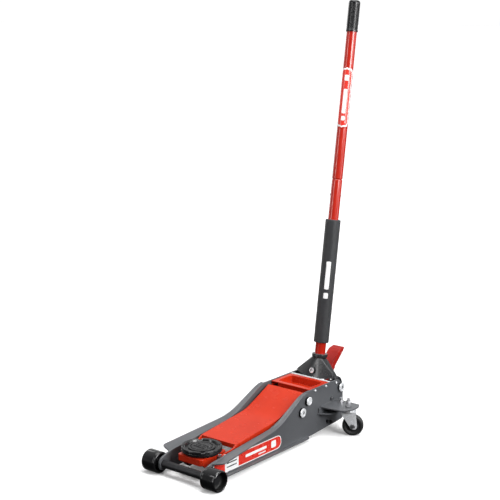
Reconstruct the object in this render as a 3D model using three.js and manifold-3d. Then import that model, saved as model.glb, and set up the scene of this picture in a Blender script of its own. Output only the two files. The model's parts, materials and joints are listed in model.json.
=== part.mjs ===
// A low-profile two-tonne trolley jack with a foot pedal and a two-piece handle.
// Millimetres. X runs across the jack (the right-hand side is +X), Y from front to rear and Z up.
// While it is drawn, Y is 0 at the front axle and Z is 0 on the floor; the last lines centre it.
import * as THREE from "three";
import { ConvexGeometry } from "three/addons/geometries/ConvexGeometry.js";
import { mergeVertices } from "three/addons/utils/BufferGeometryUtils.js";
import Module from "manifold-3d";

// ---- Driving dimensions ----
const GAP = 0.3; // running gap between neighbouring pieces

const WHEEL = { radius: 30, inner: 82.6, outer: 131.7, cup: 25, cupFloor: 112 };
const AXLE = { radius: 11, y: 0, z: WHEEL.radius, end: 118 };

const PLATE = { inner: 73, outer: 78, bottom: 9, noseRadius: 17, frontTop: 60, rear: 640, rearTop: 124 };
const KNEE = { y: 302, z: 85.5, soft: 42 }; // where the plate's top edge starts to climb
const SHOULDER = { y: 428, z: 151, soft: 26, rear: 616 }; // where it levels out beside the tray
const FLANGE = { front: 27, rear: 446, lip: 1, thick: 4, wide: 112.5, narrow: 86, rise: 0.16 };
const TIE_BAR = { y: 150, z: 21, radius: 7 };

const TRAY = { half: 71.5, front: 477, rear: 572, top: 150, depth: 24, rim: 11, sheet: 2.5 };
const TRAY_SCREW = { rows: [494, 548], z: 145, radius: 2.2, head: 3.6, reach: 3.2 };
const CROSS_BAR = { front: 573, rear: 581, bottom: 145, top: 151 };

const ARM_PIVOT = { y: 456, z: 123, radius: 11, head: 13, reach: 9 };
const SADDLE_PIN = { y: 96, z: 51, radius: 7 };
const LINK_OFFSET = { y: -29, z: -28 }; // from the arm's pivots to the torque rods' pivots
const TORQUE_PIN = { y: ARM_PIVOT.y + LINK_OFFSET.y, z: ARM_PIVOT.z + LINK_OFFSET.z, radius: 7, head: 14 };
const LINK_PIN = { y: SADDLE_PIN.y + LINK_OFFSET.y, z: SADDLE_PIN.z + LINK_OFFSET.z, radius: 7 };
const CRANK = { y: 489, z: 73, radius: 7 }; // where the ram pushes the arm
const ARM = { half: 64, sheet: 4, front: 143, frontZ: 75, kneeY: 344, kneeZ: 97.5, rear: 452, rearZ: 147 };
const CRANK_CHEEK = { inner: 28, outer: 36 };
const ROD = { inner: 46, outer: 52, half: 6, eye: 10 };

const SADDLE = { y: 74, padRadius: 56.5, top: 79, padBottom: 66, cupRadius: 51, cupBottom: 60.4, stem: 12 };
const CARRIER = { half: 44, lug: 8, front: 22, rear: 128, bottom: 42, top: 60 };

const BLOCK = { half: 50, front: 545, rear: 600, bottom: 28, top: 110, foot: 72.5 };
const BLOCK_BOLT = { y: 579, z: 99, radius: 4, head: 6.5, boss: 9 };
const RAM = { radius: 15, z: 73, rear: 590, cylinder: 28, cylinderFront: 504 };
const CROSSHEAD = { half: 24, wall: 5, slack: 2.2, bottom: 46, top: 92 };

const CASTER = { x: 144, y: 574, trail: 14, yaw: 32, radius: 32, width: 21 };
const CASTER_FORK = { crown: 68.5, crownTop: 75, front: -21, rear: 23, sheet: 2.5 };
const CASTER_SHELF = { top: 88, sheet: 4, depth: 22 };
const KINGPIN = { radius: 6, head: 9, race: 21 };
const CASTER_BOLT = { radius: 4, head: 6.5 };

const YOKE_PIVOT = { y: 624, z: 124, radius: 8, head: 14 };
const PIN_HEAD = 8; // how far the large pin heads stand out from the side plates
const EAR = { inner: 62, outer: 65, radius: 30 };
// The shield's flat middle and its swept-back wings, at their lower and upper ends.
const SHIELD = {
  middle: { low: { half: 26, y: 582, z: 148 }, high: { half: 12, y: 604, z: 205.8 } },
  wing: { low: { half: 77, y: 606, z: 154 }, high: { half: 20, y: 611, z: 204.9 } },
  rear: { low: { half: 77, y: 615, z: 154 }, high: { half: 20, y: 634, z: 201 } },
  sheet: 3,
};
const SHIELD_BOLT = { height: 22, radius: 4, head: 9, reach: 8 };
const HANDLE = { y: 612.6, z: YOKE_PIVOT.z, lean: 8.25, tube: 16, bore: 13.6, joint: 628, top: 1165 };
const SOCKET = { radius: 18.6, bottom: 18, top: 92, collar: 24, collarBottom: 80.5, stub: 6, floor: 6 };
const SLEEVE = { radius: 23.5, bottom: 127, top: 505 };
const GRIP = { radius: 17.5, bottom: 1071 };
const SNAP = { height: 581, radius: 4, azimuth: 39 };
const VALVE = { y: HANDLE.y, radius: 6, head: 9, bottom: 84.6, shoulder: 100.4, top: 121 };

const CAM = { x: 34, width: 12, low: 22, high: 35, sweep: 72, start: 216.87, back: 14 };
const PUMP = { x: 40, radius: 6, collar: 9, springTop: 46, end: 66, tipGap: 1.5 };
const SPRING = { radius: 5, wire: 1.2, x: 44 }; // the two that pull the lift arm down
const PEDAL = { half: 20.5, sheet: 3, bossRadius: 12 };

// ---- Finishes ----
const FINISH = {
  red_paint: { color: 0xd52a20, roughness: 0.35, metalness: 0.1 },
  grey_paint: { color: 0x55585c, roughness: 0.45, metalness: 0.2 },
  black_wheel: { color: 0x161616, roughness: 0.3, metalness: 0.0 },
  black_rubber: { color: 0x1c1c1d, roughness: 0.7, metalness: 0.0 },
  charcoal_foam: { color: 0x34363a, roughness: 0.9, metalness: 0.0 },
  zinc: { color: 0xc9ccd0, roughness: 0.3, metalness: 0.9 },
  steel: { color: 0x8d9095, roughness: 0.35, metalness: 0.9 },
  black_oxide: { color: 0x242628, roughness: 0.5, metalness: 0.6 },
};

// ---- Solids: joining and cutting ----
const wasm = await Module();
wasm.setup();

function toSolid(geometry) {
  const bare = geometry.clone();
  bare.deleteAttribute("normal");
  bare.deleteAttribute("uv");
  const merged = mergeVertices(bare, 1e-4);
  return new wasm.Manifold(
    new wasm.Mesh({
      numProp: 3,
      vertProperties: merged.attributes.position.array,
      triVerts: new Uint32Array(merged.index.array),
    }),
  );
}

function fromSolid(solid) {
  const { vertProperties, triVerts } = solid.getMesh();
  const geometry = new THREE.BufferGeometry();
  geometry.setAttribute("position", new THREE.BufferAttribute(vertProperties, 3));
  geometry.setIndex(new THREE.BufferAttribute(triVerts, 1));
  geometry.computeVertexNormals();
  return geometry;
}

const join = (...pieces) => fromSolid(pieces.map(toSolid).reduce((sum, next) => sum.add(next)));
const common = (...pieces) => fromSolid(pieces.map(toSolid).reduce((left, next) => left.intersect(next)));

function cut(body, ...tools) {
  return fromSolid(tools.map(toSolid).reduce((left, tool) => left.subtract(tool), toSolid(body)));
}

// ---- Solids: basic shapes ----
// An outline from [a, b, soft] corners; soft is how far from the corner its rounding starts,
// at most just under half of an edge.
function outline(corners) {
  const shape = new THREE.Shape();
  corners.forEach(([a, b, soft = 0], i) => {
    const before = corners[(i + corners.length - 1) % corners.length];
    const after = corners[(i + 1) % corners.length];
    const stepBack = (other) => {
      const share = Math.min(soft / Math.hypot(other[0] - a, other[1] - b), 0.49);
      return [a + (other[0] - a) * share, b + (other[1] - b) * share];
    };
    const start = stepBack(before);
    if (i === 0) shape.moveTo(...start);
    else shape.lineTo(...start);
    if (soft > 0) shape.quadraticCurveTo(a, b, ...stepBack(after));
  });
  shape.closePath();
  return shape;
}

const extrude = (shape, depth, curveSegments = 4) =>
  new THREE.ExtrudeGeometry(shape, { depth, bevelEnabled: false, curveSegments });

const X_AXIS = new THREE.Vector3(1, 0, 0);
const Y_AXIS = new THREE.Vector3(0, 1, 0);
const Z_AXIS = new THREE.Vector3(0, 0, 1);
const SIDE_VIEW = new THREE.Matrix4().makeBasis(Y_AXIS, Z_AXIS, X_AXIS);

// A Y-Z outline extruded from x0 to x1.
const slabX = (corners, x0, x1, segments) =>
  extrude(outline(corners), x1 - x0, segments).applyMatrix4(SIDE_VIEW).translate(x0, 0, 0);
// An X-Y outline extruded from z0 to z1.
const slabZ = (corners, z0, z1, segments) =>
  extrude(outline(corners), z1 - z0, segments).translate(0, 0, z0);

function box(x0, x1, y0, y1, z0, z1) {
  const centre = [(x0 + x1) / 2, (y0 + y1) / 2, (z0 + z1) / 2];
  return new THREE.BoxGeometry(x1 - x0, y1 - y0, z1 - z0).translate(...centre);
}

function roundedBox(halfX, y0, y1, z0, z1, soft) {
  const corners = [[-halfX, y0, soft], [halfX, y0, soft], [halfX, y1, soft], [-halfX, y1, soft]];
  return slabZ(corners, z0, z1, 3);
}

const bar = (radius, length, sides) => new THREE.CylinderGeometry(radius, radius, length, sides);
const barX = (radius, x0, x1, y, z, sides = 16) =>
  bar(radius, x1 - x0, sides).rotateZ(Math.PI / 2).translate((x0 + x1) / 2, y, z);
const barY = (radius, y0, y1, x, z, sides = 16) =>
  bar(radius, y1 - y0, sides).translate(x, (y0 + y1) / 2, z);
const barZ = (radius, z0, z1, x, y, sides = 16) =>
  bar(radius, z1 - z0, sides).rotateX(Math.PI / 2).translate(x, y, (z0 + z1) / 2);

// A turned piece from [radius, height] points, about Z, its outside drawn from bottom to top.
const turnedZ = (profile, sides = 16) =>
  new THREE.LatheGeometry(profile.map(([r, h]) => new THREE.Vector2(r, h)), sides).rotateX(Math.PI / 2);
const turnedX = (profile, y, z, sides = 16) =>
  turnedZ(profile, sides).rotateY(Math.PI / 2).translate(0, y, z);

// ---- The scene graph ----
const jack = new THREE.Group();

function add(name, geometry, finish, parent = jack) {
  const mesh = new THREE.Mesh(geometry, new THREE.MeshStandardMaterial({ ...FINISH[finish] }));
  mesh.name = name;
  parent.add(mesh);
  return mesh;
}

// The same piece on both sides: drawn for the right, mirrored for the left.
function addPair(name, geometry, finish) {
  add(`${name}_right`, geometry, finish);
  add(`${name}_left`, geometry, finish).scale.x = -1;
}

// ---- Chassis ----
function sidePlate() {
  const web = slabX(
    [
      [-PLATE.noseRadius, AXLE.z - PLATE.noseRadius, 14],
      [60, PLATE.bottom, 20],
      [470, PLATE.bottom, 30],
      [PLATE.rear, 20, 6],
      [PLATE.rear, PLATE.rearTop, 8],
      [SHOULDER.rear, SHOULDER.z, 10],
      [SHOULDER.y, SHOULDER.z, SHOULDER.soft],
      [KNEE.y, KNEE.z, KNEE.soft],
      [FLANGE.front, PLATE.frontTop, 8],
      [-PLATE.noseRadius, AXLE.z + PLATE.noseRadius, 14],
    ],
    PLATE.inner,
    PLATE.outer,
  );
  const holes = [
    ...[AXLE, ARM_PIVOT, TORQUE_PIN, YOKE_PIVOT, BLOCK_BOLT],
    ...TRAY_SCREW.rows.map((y) => ({ ...TRAY_SCREW, y })),
  ].map(({ y, z, radius }) => {
    return barX(radius + GAP, PLATE.inner - 1, PLATE.outer + 1, y, z, radius > 5 ? 16 : 10);
  });
  return cut(join(web, topFlange(), bottomFlange()), ...holes);
}

// The outward flange follows the plate's top edge, rises a little outwards and narrows towards the rear.
function topFlange() {
  const upper = -FLANGE.lip;
  const lower = upper - FLANGE.thick;
  const band = slabX(
    [
      [FLANGE.front, PLATE.frontTop + upper],
      [KNEE.y, KNEE.z + upper, KNEE.soft],
      [SHOULDER.y, SHOULDER.z + upper, SHOULDER.soft],
      [FLANGE.rear + 12, SHOULDER.z + upper],
      [FLANGE.rear + 12, SHOULDER.z + lower],
      [SHOULDER.y, SHOULDER.z + lower, SHOULDER.soft],
      [KNEE.y, KNEE.z + lower, KNEE.soft],
      [FLANGE.front, PLATE.frontTop + lower],
    ],
    PLATE.outer - 1,
    FLANGE.wide + 1,
  );
  const plan = slabZ(
    [
      [PLATE.outer - 1, FLANGE.front - 1],
      [FLANGE.wide, FLANGE.front + 9, 10],
      [88, 405],
      [FLANGE.narrow, FLANGE.rear, 3],
      [PLATE.outer - 1, FLANGE.rear],
    ],
    0,
    SHOULDER.z + 10,
  );
  const { rise } = FLANGE;
  const tilt = new THREE.Matrix4().set(1, 0, 0, 0, 0, 1, 0, 0, rise, 0, 1, -rise * PLATE.outer, 0, 0, 0, 1);
  return common(band, plan).applyMatrix4(tilt);
}

function bottomFlange() {
  const corners = [[PLATE.outer - 1, 66], [91, 78, 4], [91, 452, 6], [PLATE.outer - 1, 462]];
  return slabZ(corners, PLATE.bottom, PLATE.bottom + 4);
}

function toolTray() {
  const { half, front, rear, top, depth, rim, sheet } = TRAY;
  const rimPlate = roundedBox(half, front, rear, top - sheet, top, 3);
  const skirt = box(half - sheet, half, front, rear, top - 15, top - 1);
  const otherSkirt = skirt.clone().translate(sheet - 2 * half, 0, 0);
  const tub = roundedBox(half - rim, front + rim, rear - rim, top - depth, top - 1, 8);
  const inset = rim + sheet;
  const inside = roundedBox(half - inset, front + inset, rear - inset, top - depth + sheet, top + 1, 7);
  return cut(join(rimPlate, skirt, otherSkirt, tub), inside);
}

// A headed pin across a side plate: a head outside, a shank reaching in to x = inner.
function headedPin({ y, z, radius, head }, inner, reach, socket = 0) {
  const seat = PLATE.outer + GAP;
  const end = seat + reach;
  const recess = socket > 0 ? [[socket, end], [socket, end - 3], [0, end - 3]] : [[0, end]];
  const shank = [[0, inner], [radius, inner], [radius, seat]];
  return turnedX([...shank, [head, seat], [head, end - 1.5], [head - 1.5, end], ...recess], y, z, 12);
}

// A turned piece across the jack, the same at both ends, from [radius, x] points going outwards.
function symmetricX(half, y, z) {
  const [, end] = half.at(-1);
  const otherHalf = half.toReversed().map(([r, x]) => [r, -x]);
  return turnedX([[0, -end], ...otherHalf, ...half, [0, end]], y, z, 12);
}

function armPivotShaft() {
  const { y, z, radius, head, reach } = ARM_PIVOT;
  const seat = PLATE.outer + GAP;
  const end = seat + reach;
  return symmetricX([[radius, seat], [head, seat], [head, end - 1.5], [head - 2, end]], y, z);
}

function frontAxle() {
  const { y, z, radius, end } = AXLE;
  const clip = WHEEL.cupFloor + GAP;
  const ring = [[15, clip], [15, clip + 2], [radius - 1, clip + 2]];
  return symmetricX([[radius, clip], ...ring, [radius - 1, end]], y, z);
}

const betweenPlates = PLATE.inner - GAP;
addPair("side_plate", sidePlate(), "grey_paint");
add("front_axle", frontAxle(), "black_oxide");
const tieBar = barX(TIE_BAR.radius, -betweenPlates, betweenPlates, TIE_BAR.y, TIE_BAR.z);
add("front_tie_bar", tieBar, "grey_paint");
add("tool_tray", toolTray(), "red_paint");
for (const [i, y] of TRAY_SCREW.rows.entries()) {
  const screw = headedPin({ ...TRAY_SCREW, y }, TRAY.half + GAP, TRAY_SCREW.reach);
  addPair(`tray_screw_${i + 1}`, screw, "zinc");
}
const { front: barFront, rear: barRear, bottom: barBottom, top: barTop } = CROSS_BAR;
add("rear_cross_bar", box(-TRAY.half, TRAY.half, barFront, barRear, barBottom, barTop), "zinc");
add("arm_pivot_shaft", armPivotShaft(), "zinc");
addPair("torque_rod_bolt", headedPin(TORQUE_PIN, ROD.inner - 1, PIN_HEAD, 4.5), "zinc");

// ---- Front wheels ----
function frontWheel() {
  const { radius, inner, outer, cup, cupFloor } = WHEEL;
  const bore = AXLE.radius + GAP;
  const profile = [
    [bore, inner + 3],
    [17, inner + 3],
    [17, inner + 14],
    [cup, inner + 14],
    [cup, inner],
    [radius - 2, inner],
    [radius, inner + 2],
    [radius, outer - 3],
    [radius - 3, outer],
    [cup, outer],
    [cup, cupFloor],
    [bore, cupFloor],
    [bore, inner + 3],
  ];
  return turnedX(profile, AXLE.y, AXLE.z, 20);
}
addPair("front_wheel", frontWheel(), "black_wheel");

// ---- Casters ----
// The bracket is a shelf welded to the side plate, with a pocket below it that opens to the front.
function casterBracket() {
  const { top, sheet, depth } = CASTER_SHELF;
  const inner = PLATE.outer + GAP;
  const back = { x: 112, front: 602, rear: 606 };
  const shelfPlan = [[inner, 520], [150, 531, 5], [168, 560, 8], [168, 592, 8], [158, 612, 5], [inner, 614]];
  const floorPlan = [[inner, 506], [106, 526, 4], [back.x, 540], [back.x, back.rear], [inner, back.rear]];
  const shelf = slabZ(shelfPlan, top - sheet, top);
  const floor = slabZ(floorPlan, top - depth, top - depth + sheet);
  const backWall = box(inner, back.x, back.front, back.rear, top - depth + 2, top - 2);
  const sideWall = box(inner, inner + sheet, 510, back.rear, top - depth + 2, top - 2);
  const hole = barZ(KINGPIN.radius + GAP, top - sheet - 1, top + 1, CASTER.x, CASTER.y);
  return cut(join(shelf, floor, backWall, sideWall), hole);
}

// A rivet through the shelf and the fork's crown, with the ball race between them.
function casterKingpin() {
  const { radius, head, race } = KINGPIN;
  const under = CASTER_FORK.crown - GAP;
  const raceBottom = CASTER_FORK.crownTop + GAP;
  const raceTop = CASTER_SHELF.top - CASTER_SHELF.sheet - GAP;
  const top = CASTER_SHELF.top + GAP;
  const lower = [[0, under - 3.5], [head, under - 3.5], [head, under], [radius, under]];
  const raceSide = [[race, raceBottom], [race, raceBottom + 5], [race - 4, raceTop]];
  const ring = [[radius, raceBottom], ...raceSide, [radius, raceTop]];
  const upper = [[radius, top], [head + 1, top], [head + 1, top + 2], [head - 2, top + 4], [0, top + 4]];
  return turnedZ([...lower, ...ring, ...upper], 12).translate(CASTER.x, CASTER.y, 0);
}

// Fork, wheel and bolt are drawn with the wheel rolling along X, then turned to the caster's yaw.
function placeCaster(geometry) {
  return geometry.rotateZ(THREE.MathUtils.degToRad(CASTER.yaw)).translate(CASTER.x, CASTER.y, 0);
}

// A piece turned about Z, laid on the wheel's axle.
const onCasterAxle = (geometry) =>
  placeCaster(geometry.rotateX(Math.PI / 2).translate(CASTER.trail, 0, CASTER.radius));

const SIDE_ROLLING = new THREE.Matrix4().makeBasis(X_AXIS, Z_AXIS, Y_AXIS.clone().negate());

function casterFork() {
  const { trail, radius, width } = CASTER;
  const { crown, crownTop, front, rear, sheet } = CASTER_FORK;
  const inner = width / 2 + 1.5;
  const outer = inner + sheet;
  const cheekOutline = [
    [front, crownTop, 3],
    [front, crown - 1, 4],
    [trail - 9, radius - 3, 4],
    [trail - 6, radius - 10, 4],
    [trail + 9, radius - 11, 5],
    [trail + 13, radius - 3, 5],
    [rear, crown - 1, 4],
    [rear, crownTop, 3],
  ];
  const cheek = (y) => extrude(outline(cheekOutline), sheet, 3).applyMatrix4(SIDE_ROLLING).translate(0, y, 0);
  const bridge = box(front, rear, -outer, outer, crown, crownTop);
  const kingpinHole = barZ(KINGPIN.radius + GAP, crown - 5, crownTop + 5, 0, 0);
  const boltHole = barY(CASTER_BOLT.radius + GAP, -outer - 2, outer + 2, trail, radius);
  return placeCaster(cut(join(bridge, cheek(outer), cheek(-inner)), kingpinHole, boltHole));
}

function casterWheel() {
  const { radius, width } = CASTER;
  const half = width / 2;
  const bore = CASTER_BOLT.radius + GAP;
  const hub = [[bore, half], [9, half], [12, half - 3], [22, half - 3]];
  const side = [...hub, [24, half], [radius - 3, half], [radius, half - 3.5]];
  const otherSide = side.toReversed().map(([r, h]) => [r, -h]);
  return onCasterAxle(turnedZ([...side, ...otherSide, side[0]].toReversed(), 16));
}

function casterBolt() {
  const { radius, head } = CASTER_BOLT;
  const seat = CASTER.width / 2 + 4 + GAP;
  const headEnd = [[0, -seat - 5], [head, -seat - 5], [head, -seat], [radius, -seat]];
  const nutEnd = [[radius, seat], [head, seat], [head, seat + 4], [0, seat + 4]];
  return onCasterAxle(turnedZ([...headEnd, ...nutEnd], 12));
}

addPair("caster_bracket", casterBracket(), "grey_paint");
addPair("caster_kingpin", casterKingpin(), "zinc");
addPair("caster_fork", casterFork(), "zinc");
addPair("caster_wheel", casterWheel(), "black_wheel");
addPair("caster_bolt", casterBolt(), "zinc");

// ---- Lift arm and torque rods ----
function liftArm() {
  const { half, sheet, front, frontZ, kneeY, kneeZ, rear, rearZ } = ARM;
  const cover = slabX(
    [
      [front, frontZ],
      [kneeY, kneeZ, 30],
      [rear, rearZ],
      [rear, rearZ - sheet],
      [kneeY, kneeZ - sheet, 30],
      [front, frontZ - sheet],
    ],
    -half,
    half,
  );
  const cheekOutline = [
    [rear, rearZ - 1],
    [472, 132, 8],
    [472, 112, 10],
    [456, 105, 8],
    [430, 104.5, 4],
    [SADDLE_PIN.y + 40, SADDLE_PIN.z - 12, 30],
    [SADDLE_PIN.y - 14, SADDLE_PIN.z - 14, 12],
    [SADDLE_PIN.y - 14, SADDLE_PIN.z + 13, 12],
    [front - 14, SADDLE_PIN.z + 15, 6],
    [front, frontZ - 1],
    [kneeY, kneeZ - 1, 30],
  ];
  const crankRear = [[474, 132, 12], [503, 76, 10], [496, 59, 8], [480, 61, 8]];
  const crankOutline = [[438, 132, 12], ...crankRear, [438, 112, 12]];
  const sides = [-1, 1].flatMap((side) => {
    const span = (a, b) => (side > 0 ? [a, b] : [-b, -a]);
    return [
      slabX(cheekOutline, ...span(half - sheet, half)),
      slabX(crankOutline, ...span(CRANK_CHEEK.inner, CRANK_CHEEK.outer)),
    ];
  });
  const hub = barX(ARM_PIVOT.radius + 6, -half + 1, half - 1, ARM_PIVOT.y, ARM_PIVOT.z);
  const lip = box(-half + 1, half - 1, front, front + sheet, frontZ - 13, frontZ - 1);
  const holes = [ARM_PIVOT, SADDLE_PIN, CRANK].map(({ y, z, radius }) => {
    return barX(radius + GAP, -half - 1, half + 1, y, z);
  });
  return cut(join(cover, hub, lip, ...sides), ...holes);
}

function torqueRod() {
  const strip = slabX(
    [
      [TORQUE_PIN.y, TORQUE_PIN.z + ROD.half],
      [TORQUE_PIN.y, TORQUE_PIN.z - ROD.half],
      [LINK_PIN.y, LINK_PIN.z - ROD.half],
      [LINK_PIN.y, LINK_PIN.z + ROD.half],
    ],
    ROD.inner,
    ROD.outer,
  );
  const ends = [TORQUE_PIN, LINK_PIN];
  const eyes = ends.map(({ y, z }) => barX(ROD.eye, ROD.inner, ROD.outer, y, z, 14));
  const holes = ends.map(({ y, z, radius }) => {
    return barX(radius + GAP, ROD.inner - 1, ROD.outer + 1, y, z, 12);
  });
  return cut(join(strip, ...eyes), ...holes);
}

// A straight pin across the jack with a small head at each end.
function doubleHeadedPin({ y, z, radius }, head, seat) {
  return symmetricX([[radius, seat], [head, seat], [head, seat + 2.5]], y, z);
}

add("lift_arm", liftArm(), "red_paint");
add("saddle_pin", doubleHeadedPin(SADDLE_PIN, 11, ARM.half + GAP), "zinc");
add("crank_pin", doubleHeadedPin(CRANK, 9.5, 50), "steel");
addPair("torque_rod", torqueRod(), "steel");

// ---- Saddle ----
function saddleCarrier() {
  const { half, lug, front, rear, bottom, top } = CARRIER;
  const body = roundedBox(half, front, rear, bottom, top, 10);
  const lugOutline = [
    [front + 6, bottom + 2],
    [LINK_PIN.y - 11, LINK_PIN.z - 4, 9],
    [LINK_PIN.y - 4, LINK_PIN.z - 11, 6],
    [LINK_PIN.y + 8, LINK_PIN.z - 10, 8],
    [LINK_PIN.y + 14, LINK_PIN.z + 6, 6],
    [rear - 10, bottom + 2],
  ];
  const lugs = [half - lug, -half].map((x) => slabX(lugOutline, x, x + lug));
  const stemHole = barZ(SADDLE.stem + GAP, bottom - 1, top + 1, 0, SADDLE.y);
  const pinHoles = [SADDLE_PIN, LINK_PIN].map(({ y, z, radius }) => {
    return barX(radius + GAP, -half - 1, half + 1, y, z);
  });
  return cut(join(body, ...lugs), stemHole, ...pinHoles);
}

function linkPin() {
  const { y, z, radius } = LINK_PIN;
  const inner = CARRIER.half - CARRIER.lug;
  const seat = ROD.outer + GAP;
  const shank = [[0, inner], [radius, inner], [radius, seat]];
  return turnedX([...shank, [9, seat], [9, seat + 3], [0, seat + 3]], y, z, 12);
}

function saddleCup() {
  const { stem, cupRadius: r, cupBottom: low, padBottom } = SADDLE;
  const top = padBottom - GAP;
  const shank = [[0, CARRIER.bottom + 1], [stem, CARRIER.bottom + 1], [stem, low]];
  return turnedZ([...shank, [r - 2, low], [r, low + 1.6], [r, top], [0, top]], 20).translate(0, SADDLE.y, 0);
}

function saddlePad() {
  const { padRadius: r, top, padBottom } = SADDLE;
  const rim = [[r, padBottom], [r, top - 1], [r - 1, top], [r - 10, top], [r - 12, top - 4]];
  const notches = [45, 135].map((angle) =>
    box(-r - 1, r + 1, -5, 5, top - 2.5, top + 1).rotateZ(THREE.MathUtils.degToRad(angle)),
  );
  return cut(turnedZ([[0, padBottom], ...rim, [0, top - 4]], 24), ...notches).translate(0, SADDLE.y, 0);
}

add("saddle_carrier", saddleCarrier(), "red_paint");
addPair("link_pin", linkPin(), "zinc");
add("saddle_cup", saddleCup(), "black_oxide");
add("saddle_pad", saddlePad(), "black_rubber");

// ---- Hydraulic unit ----
// Directions in the Y-Z plane from the yoke's pivot, by angle from +Y.
const fromPivot = (angle, distance) => {
  const turn = THREE.MathUtils.degToRad(angle);
  return [YOKE_PIVOT.y + distance * Math.cos(turn), YOKE_PIVOT.z + distance * Math.sin(turn)];
};
// A piece turned about Z, laid along the plunger's line: z = 0 at the yoke's pivot, growing away from it.
const alongPlunger = (geometry) =>
  geometry
    .rotateX(THREE.MathUtils.degToRad(CAM.start - 90))
    .translate(PUMP.x, YOKE_PIVOT.y, YOKE_PIVOT.z);

function hydraulicBlock() {
  const { half, front, rear, bottom, top, foot } = BLOCK;
  const { y, z, radius, boss } = BLOCK_BOLT;
  const body = slabX(
    [[front, bottom, 4], [rear, bottom, 4], [rear, 78], [rear - 23, top, 2], [front, top, 4]],
    -half,
    half,
  );
  const feet = box(-foot, foot, front, rear - 6, bottom, bottom + 20);
  const bosses = [-foot, half - 1].map((x) => barX(boss, x, x + foot - half + 1, y, z));
  const valveEar = box(-14, 14, rear - 20, VALVE.y + 9.4, VALVE.bottom - 0.6, VALVE.shoulder - GAP);
  const bores = [
    barY(RAM.radius + GAP, front - 1, RAM.rear + 4, 0, RAM.z),
    alongPlunger(barZ(PUMP.radius + GAP, PUMP.springTop - 6, PUMP.end + 16, 0, 0)),
    barZ(VALVE.radius + GAP, VALVE.bottom - 5, VALVE.shoulder + 5, 0, VALVE.y),
    barX(radius + GAP, foot - 12, foot + 1, y, z, 12),
    barX(radius + GAP, -foot - 1, 12 - foot, y, z, 12),
  ];
  return cut(join(body, feet, ...bosses, valveEar), ...bores);
}

function ramCylinder() {
  const { radius, z, cylinder, cylinderFront } = RAM;
  const outside = barY(cylinder, cylinderFront, BLOCK.front - GAP, 0, z, 24);
  return cut(outside, barY(radius + GAP, cylinderFront - 1, BLOCK.front + 1, 0, z));
}

// The slot gives the crank pin room to rise, and the slack makes up for its uneven travel.
const crossheadFront = CRANK.y - CRANK.radius - CROSSHEAD.slack - CROSSHEAD.wall;
const crossheadRear = CRANK.y + CRANK.radius + CROSSHEAD.slack + CROSSHEAD.wall;
function ramCrosshead() {
  const { half, wall, bottom, top } = CROSSHEAD;
  const front = crossheadFront + wall;
  const rear = crossheadRear - wall;
  const slot = [[front, bottom + 7, 4], [rear, bottom + 7, 4], [rear, top - 7, 4], [front, top - 7, 4]];
  const body = box(-half, half, crossheadFront, crossheadRear, bottom, top);
  return cut(body, slabX(slot, -half - 1, half + 1));
}

function releaseValve() {
  const { y, radius, head, bottom, shoulder, top } = VALVE;
  const stem = [[0, bottom], [radius, bottom], [radius, shoulder]];
  const cap = [[head, shoulder + 1.6], [head, top - 2], [head - 2, top], [0, top]];
  return turnedZ([...stem, ...cap]).translate(0, y, 0);
}

function pumpPlunger() {
  const { radius, collar, end } = PUMP;
  const tip = CAM.low + PUMP.tipGap;
  const nose = [[0, tip], [4, tip + 0.8], [collar - 1.5, tip + 3], [collar, tip + 5], [collar, tip + 8]];
  return alongPlunger(turnedZ([...nose, [radius, tip + 8], [radius, end], [0, end]]));
}

// A round-wire coil spring along Z from z0 to z1.
function coil(radius, wire, z0, z1, turns) {
  const height = z1 - z0 - 2 * wire;
  class Helix extends THREE.Curve {
    getPoint(t, target = new THREE.Vector3()) {
      const angle = 2 * Math.PI * turns * t;
      return target.set(radius * Math.cos(angle), radius * Math.sin(angle), z0 + wire + height * t);
    }
  }
  const section = new THREE.Shape().absarc(0, 0, wire, 0, 2 * Math.PI);
  const steps = Math.round(turns * 7);
  return new THREE.ExtrudeGeometry(section, { steps, extrudePath: new Helix(), curveSegments: 2 });
}

function returnSpring() {
  const { radius, wire, x } = SPRING;
  const line = coil(radius, wire, CRANK.y + CRANK.radius + 2, BLOCK.front - GAP, 6);
  return line.rotateX(-Math.PI / 2).translate(x, 0, CRANK.z);
}

const springFoot = CAM.low + PUMP.tipGap + 8.7;
add("hydraulic_block", hydraulicBlock(), "grey_paint");
add("ram_cylinder", ramCylinder(), "grey_paint");
add("ram_rod", barY(RAM.radius, crossheadRear + GAP, RAM.rear, 0, RAM.z), "steel");
add("ram_crosshead", ramCrosshead(), "steel");
add("filler_plug", barZ(6, BLOCK.top + GAP, BLOCK.top + 5, -28, 562, 12), "black_rubber");
add("release_valve", releaseValve(), "steel");
add("pump_plunger", pumpPlunger(), "steel");
add("pump_spring", alongPlunger(coil(8, 1.1, springFoot, PUMP.springTop - 2, 4)), "steel");
addPair("block_bolt", headedPin(BLOCK_BOLT, BLOCK.foot - 10, 5), "zinc");
addPair("return_spring", returnSpring(), "steel");

// ---- Handle yoke ----
// The solid behind the shield's front face, from height z0 to z1, set in from it by inset.
function shieldWedge(z0, z1, inset, rear) {
  const along = ({ low, high }, z) => {
    const share = (z - low.z) / (high.z - low.z);
    return [low.half + (high.half - low.half) * share, low.y + (high.y - low.y) * share];
  };
  const corners = [z0, z1].flatMap((z) => {
    const [middle, middleY] = along(SHIELD.middle, Math.max(z, z0));
    const [wing, wingY] = along(SHIELD.wing, z);
    const side = wing - 1.35 * inset;
    return [
      [middle - 0.4 * inset, middleY + inset, z],
      [side, wingY + 0.7 * inset, z],
      [side, rear, z],
    ];
  });
  return bothSidesHull(corners);
}

// The convex solid through the given [x, y, z] points and their mirror images.
function bothSidesHull(corners) {
  const points = corners.flatMap(([x, y, z]) => [new THREE.Vector3(x, y, z), new THREE.Vector3(-x, y, z)]);
  return new ConvexGeometry(points);
}

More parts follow.
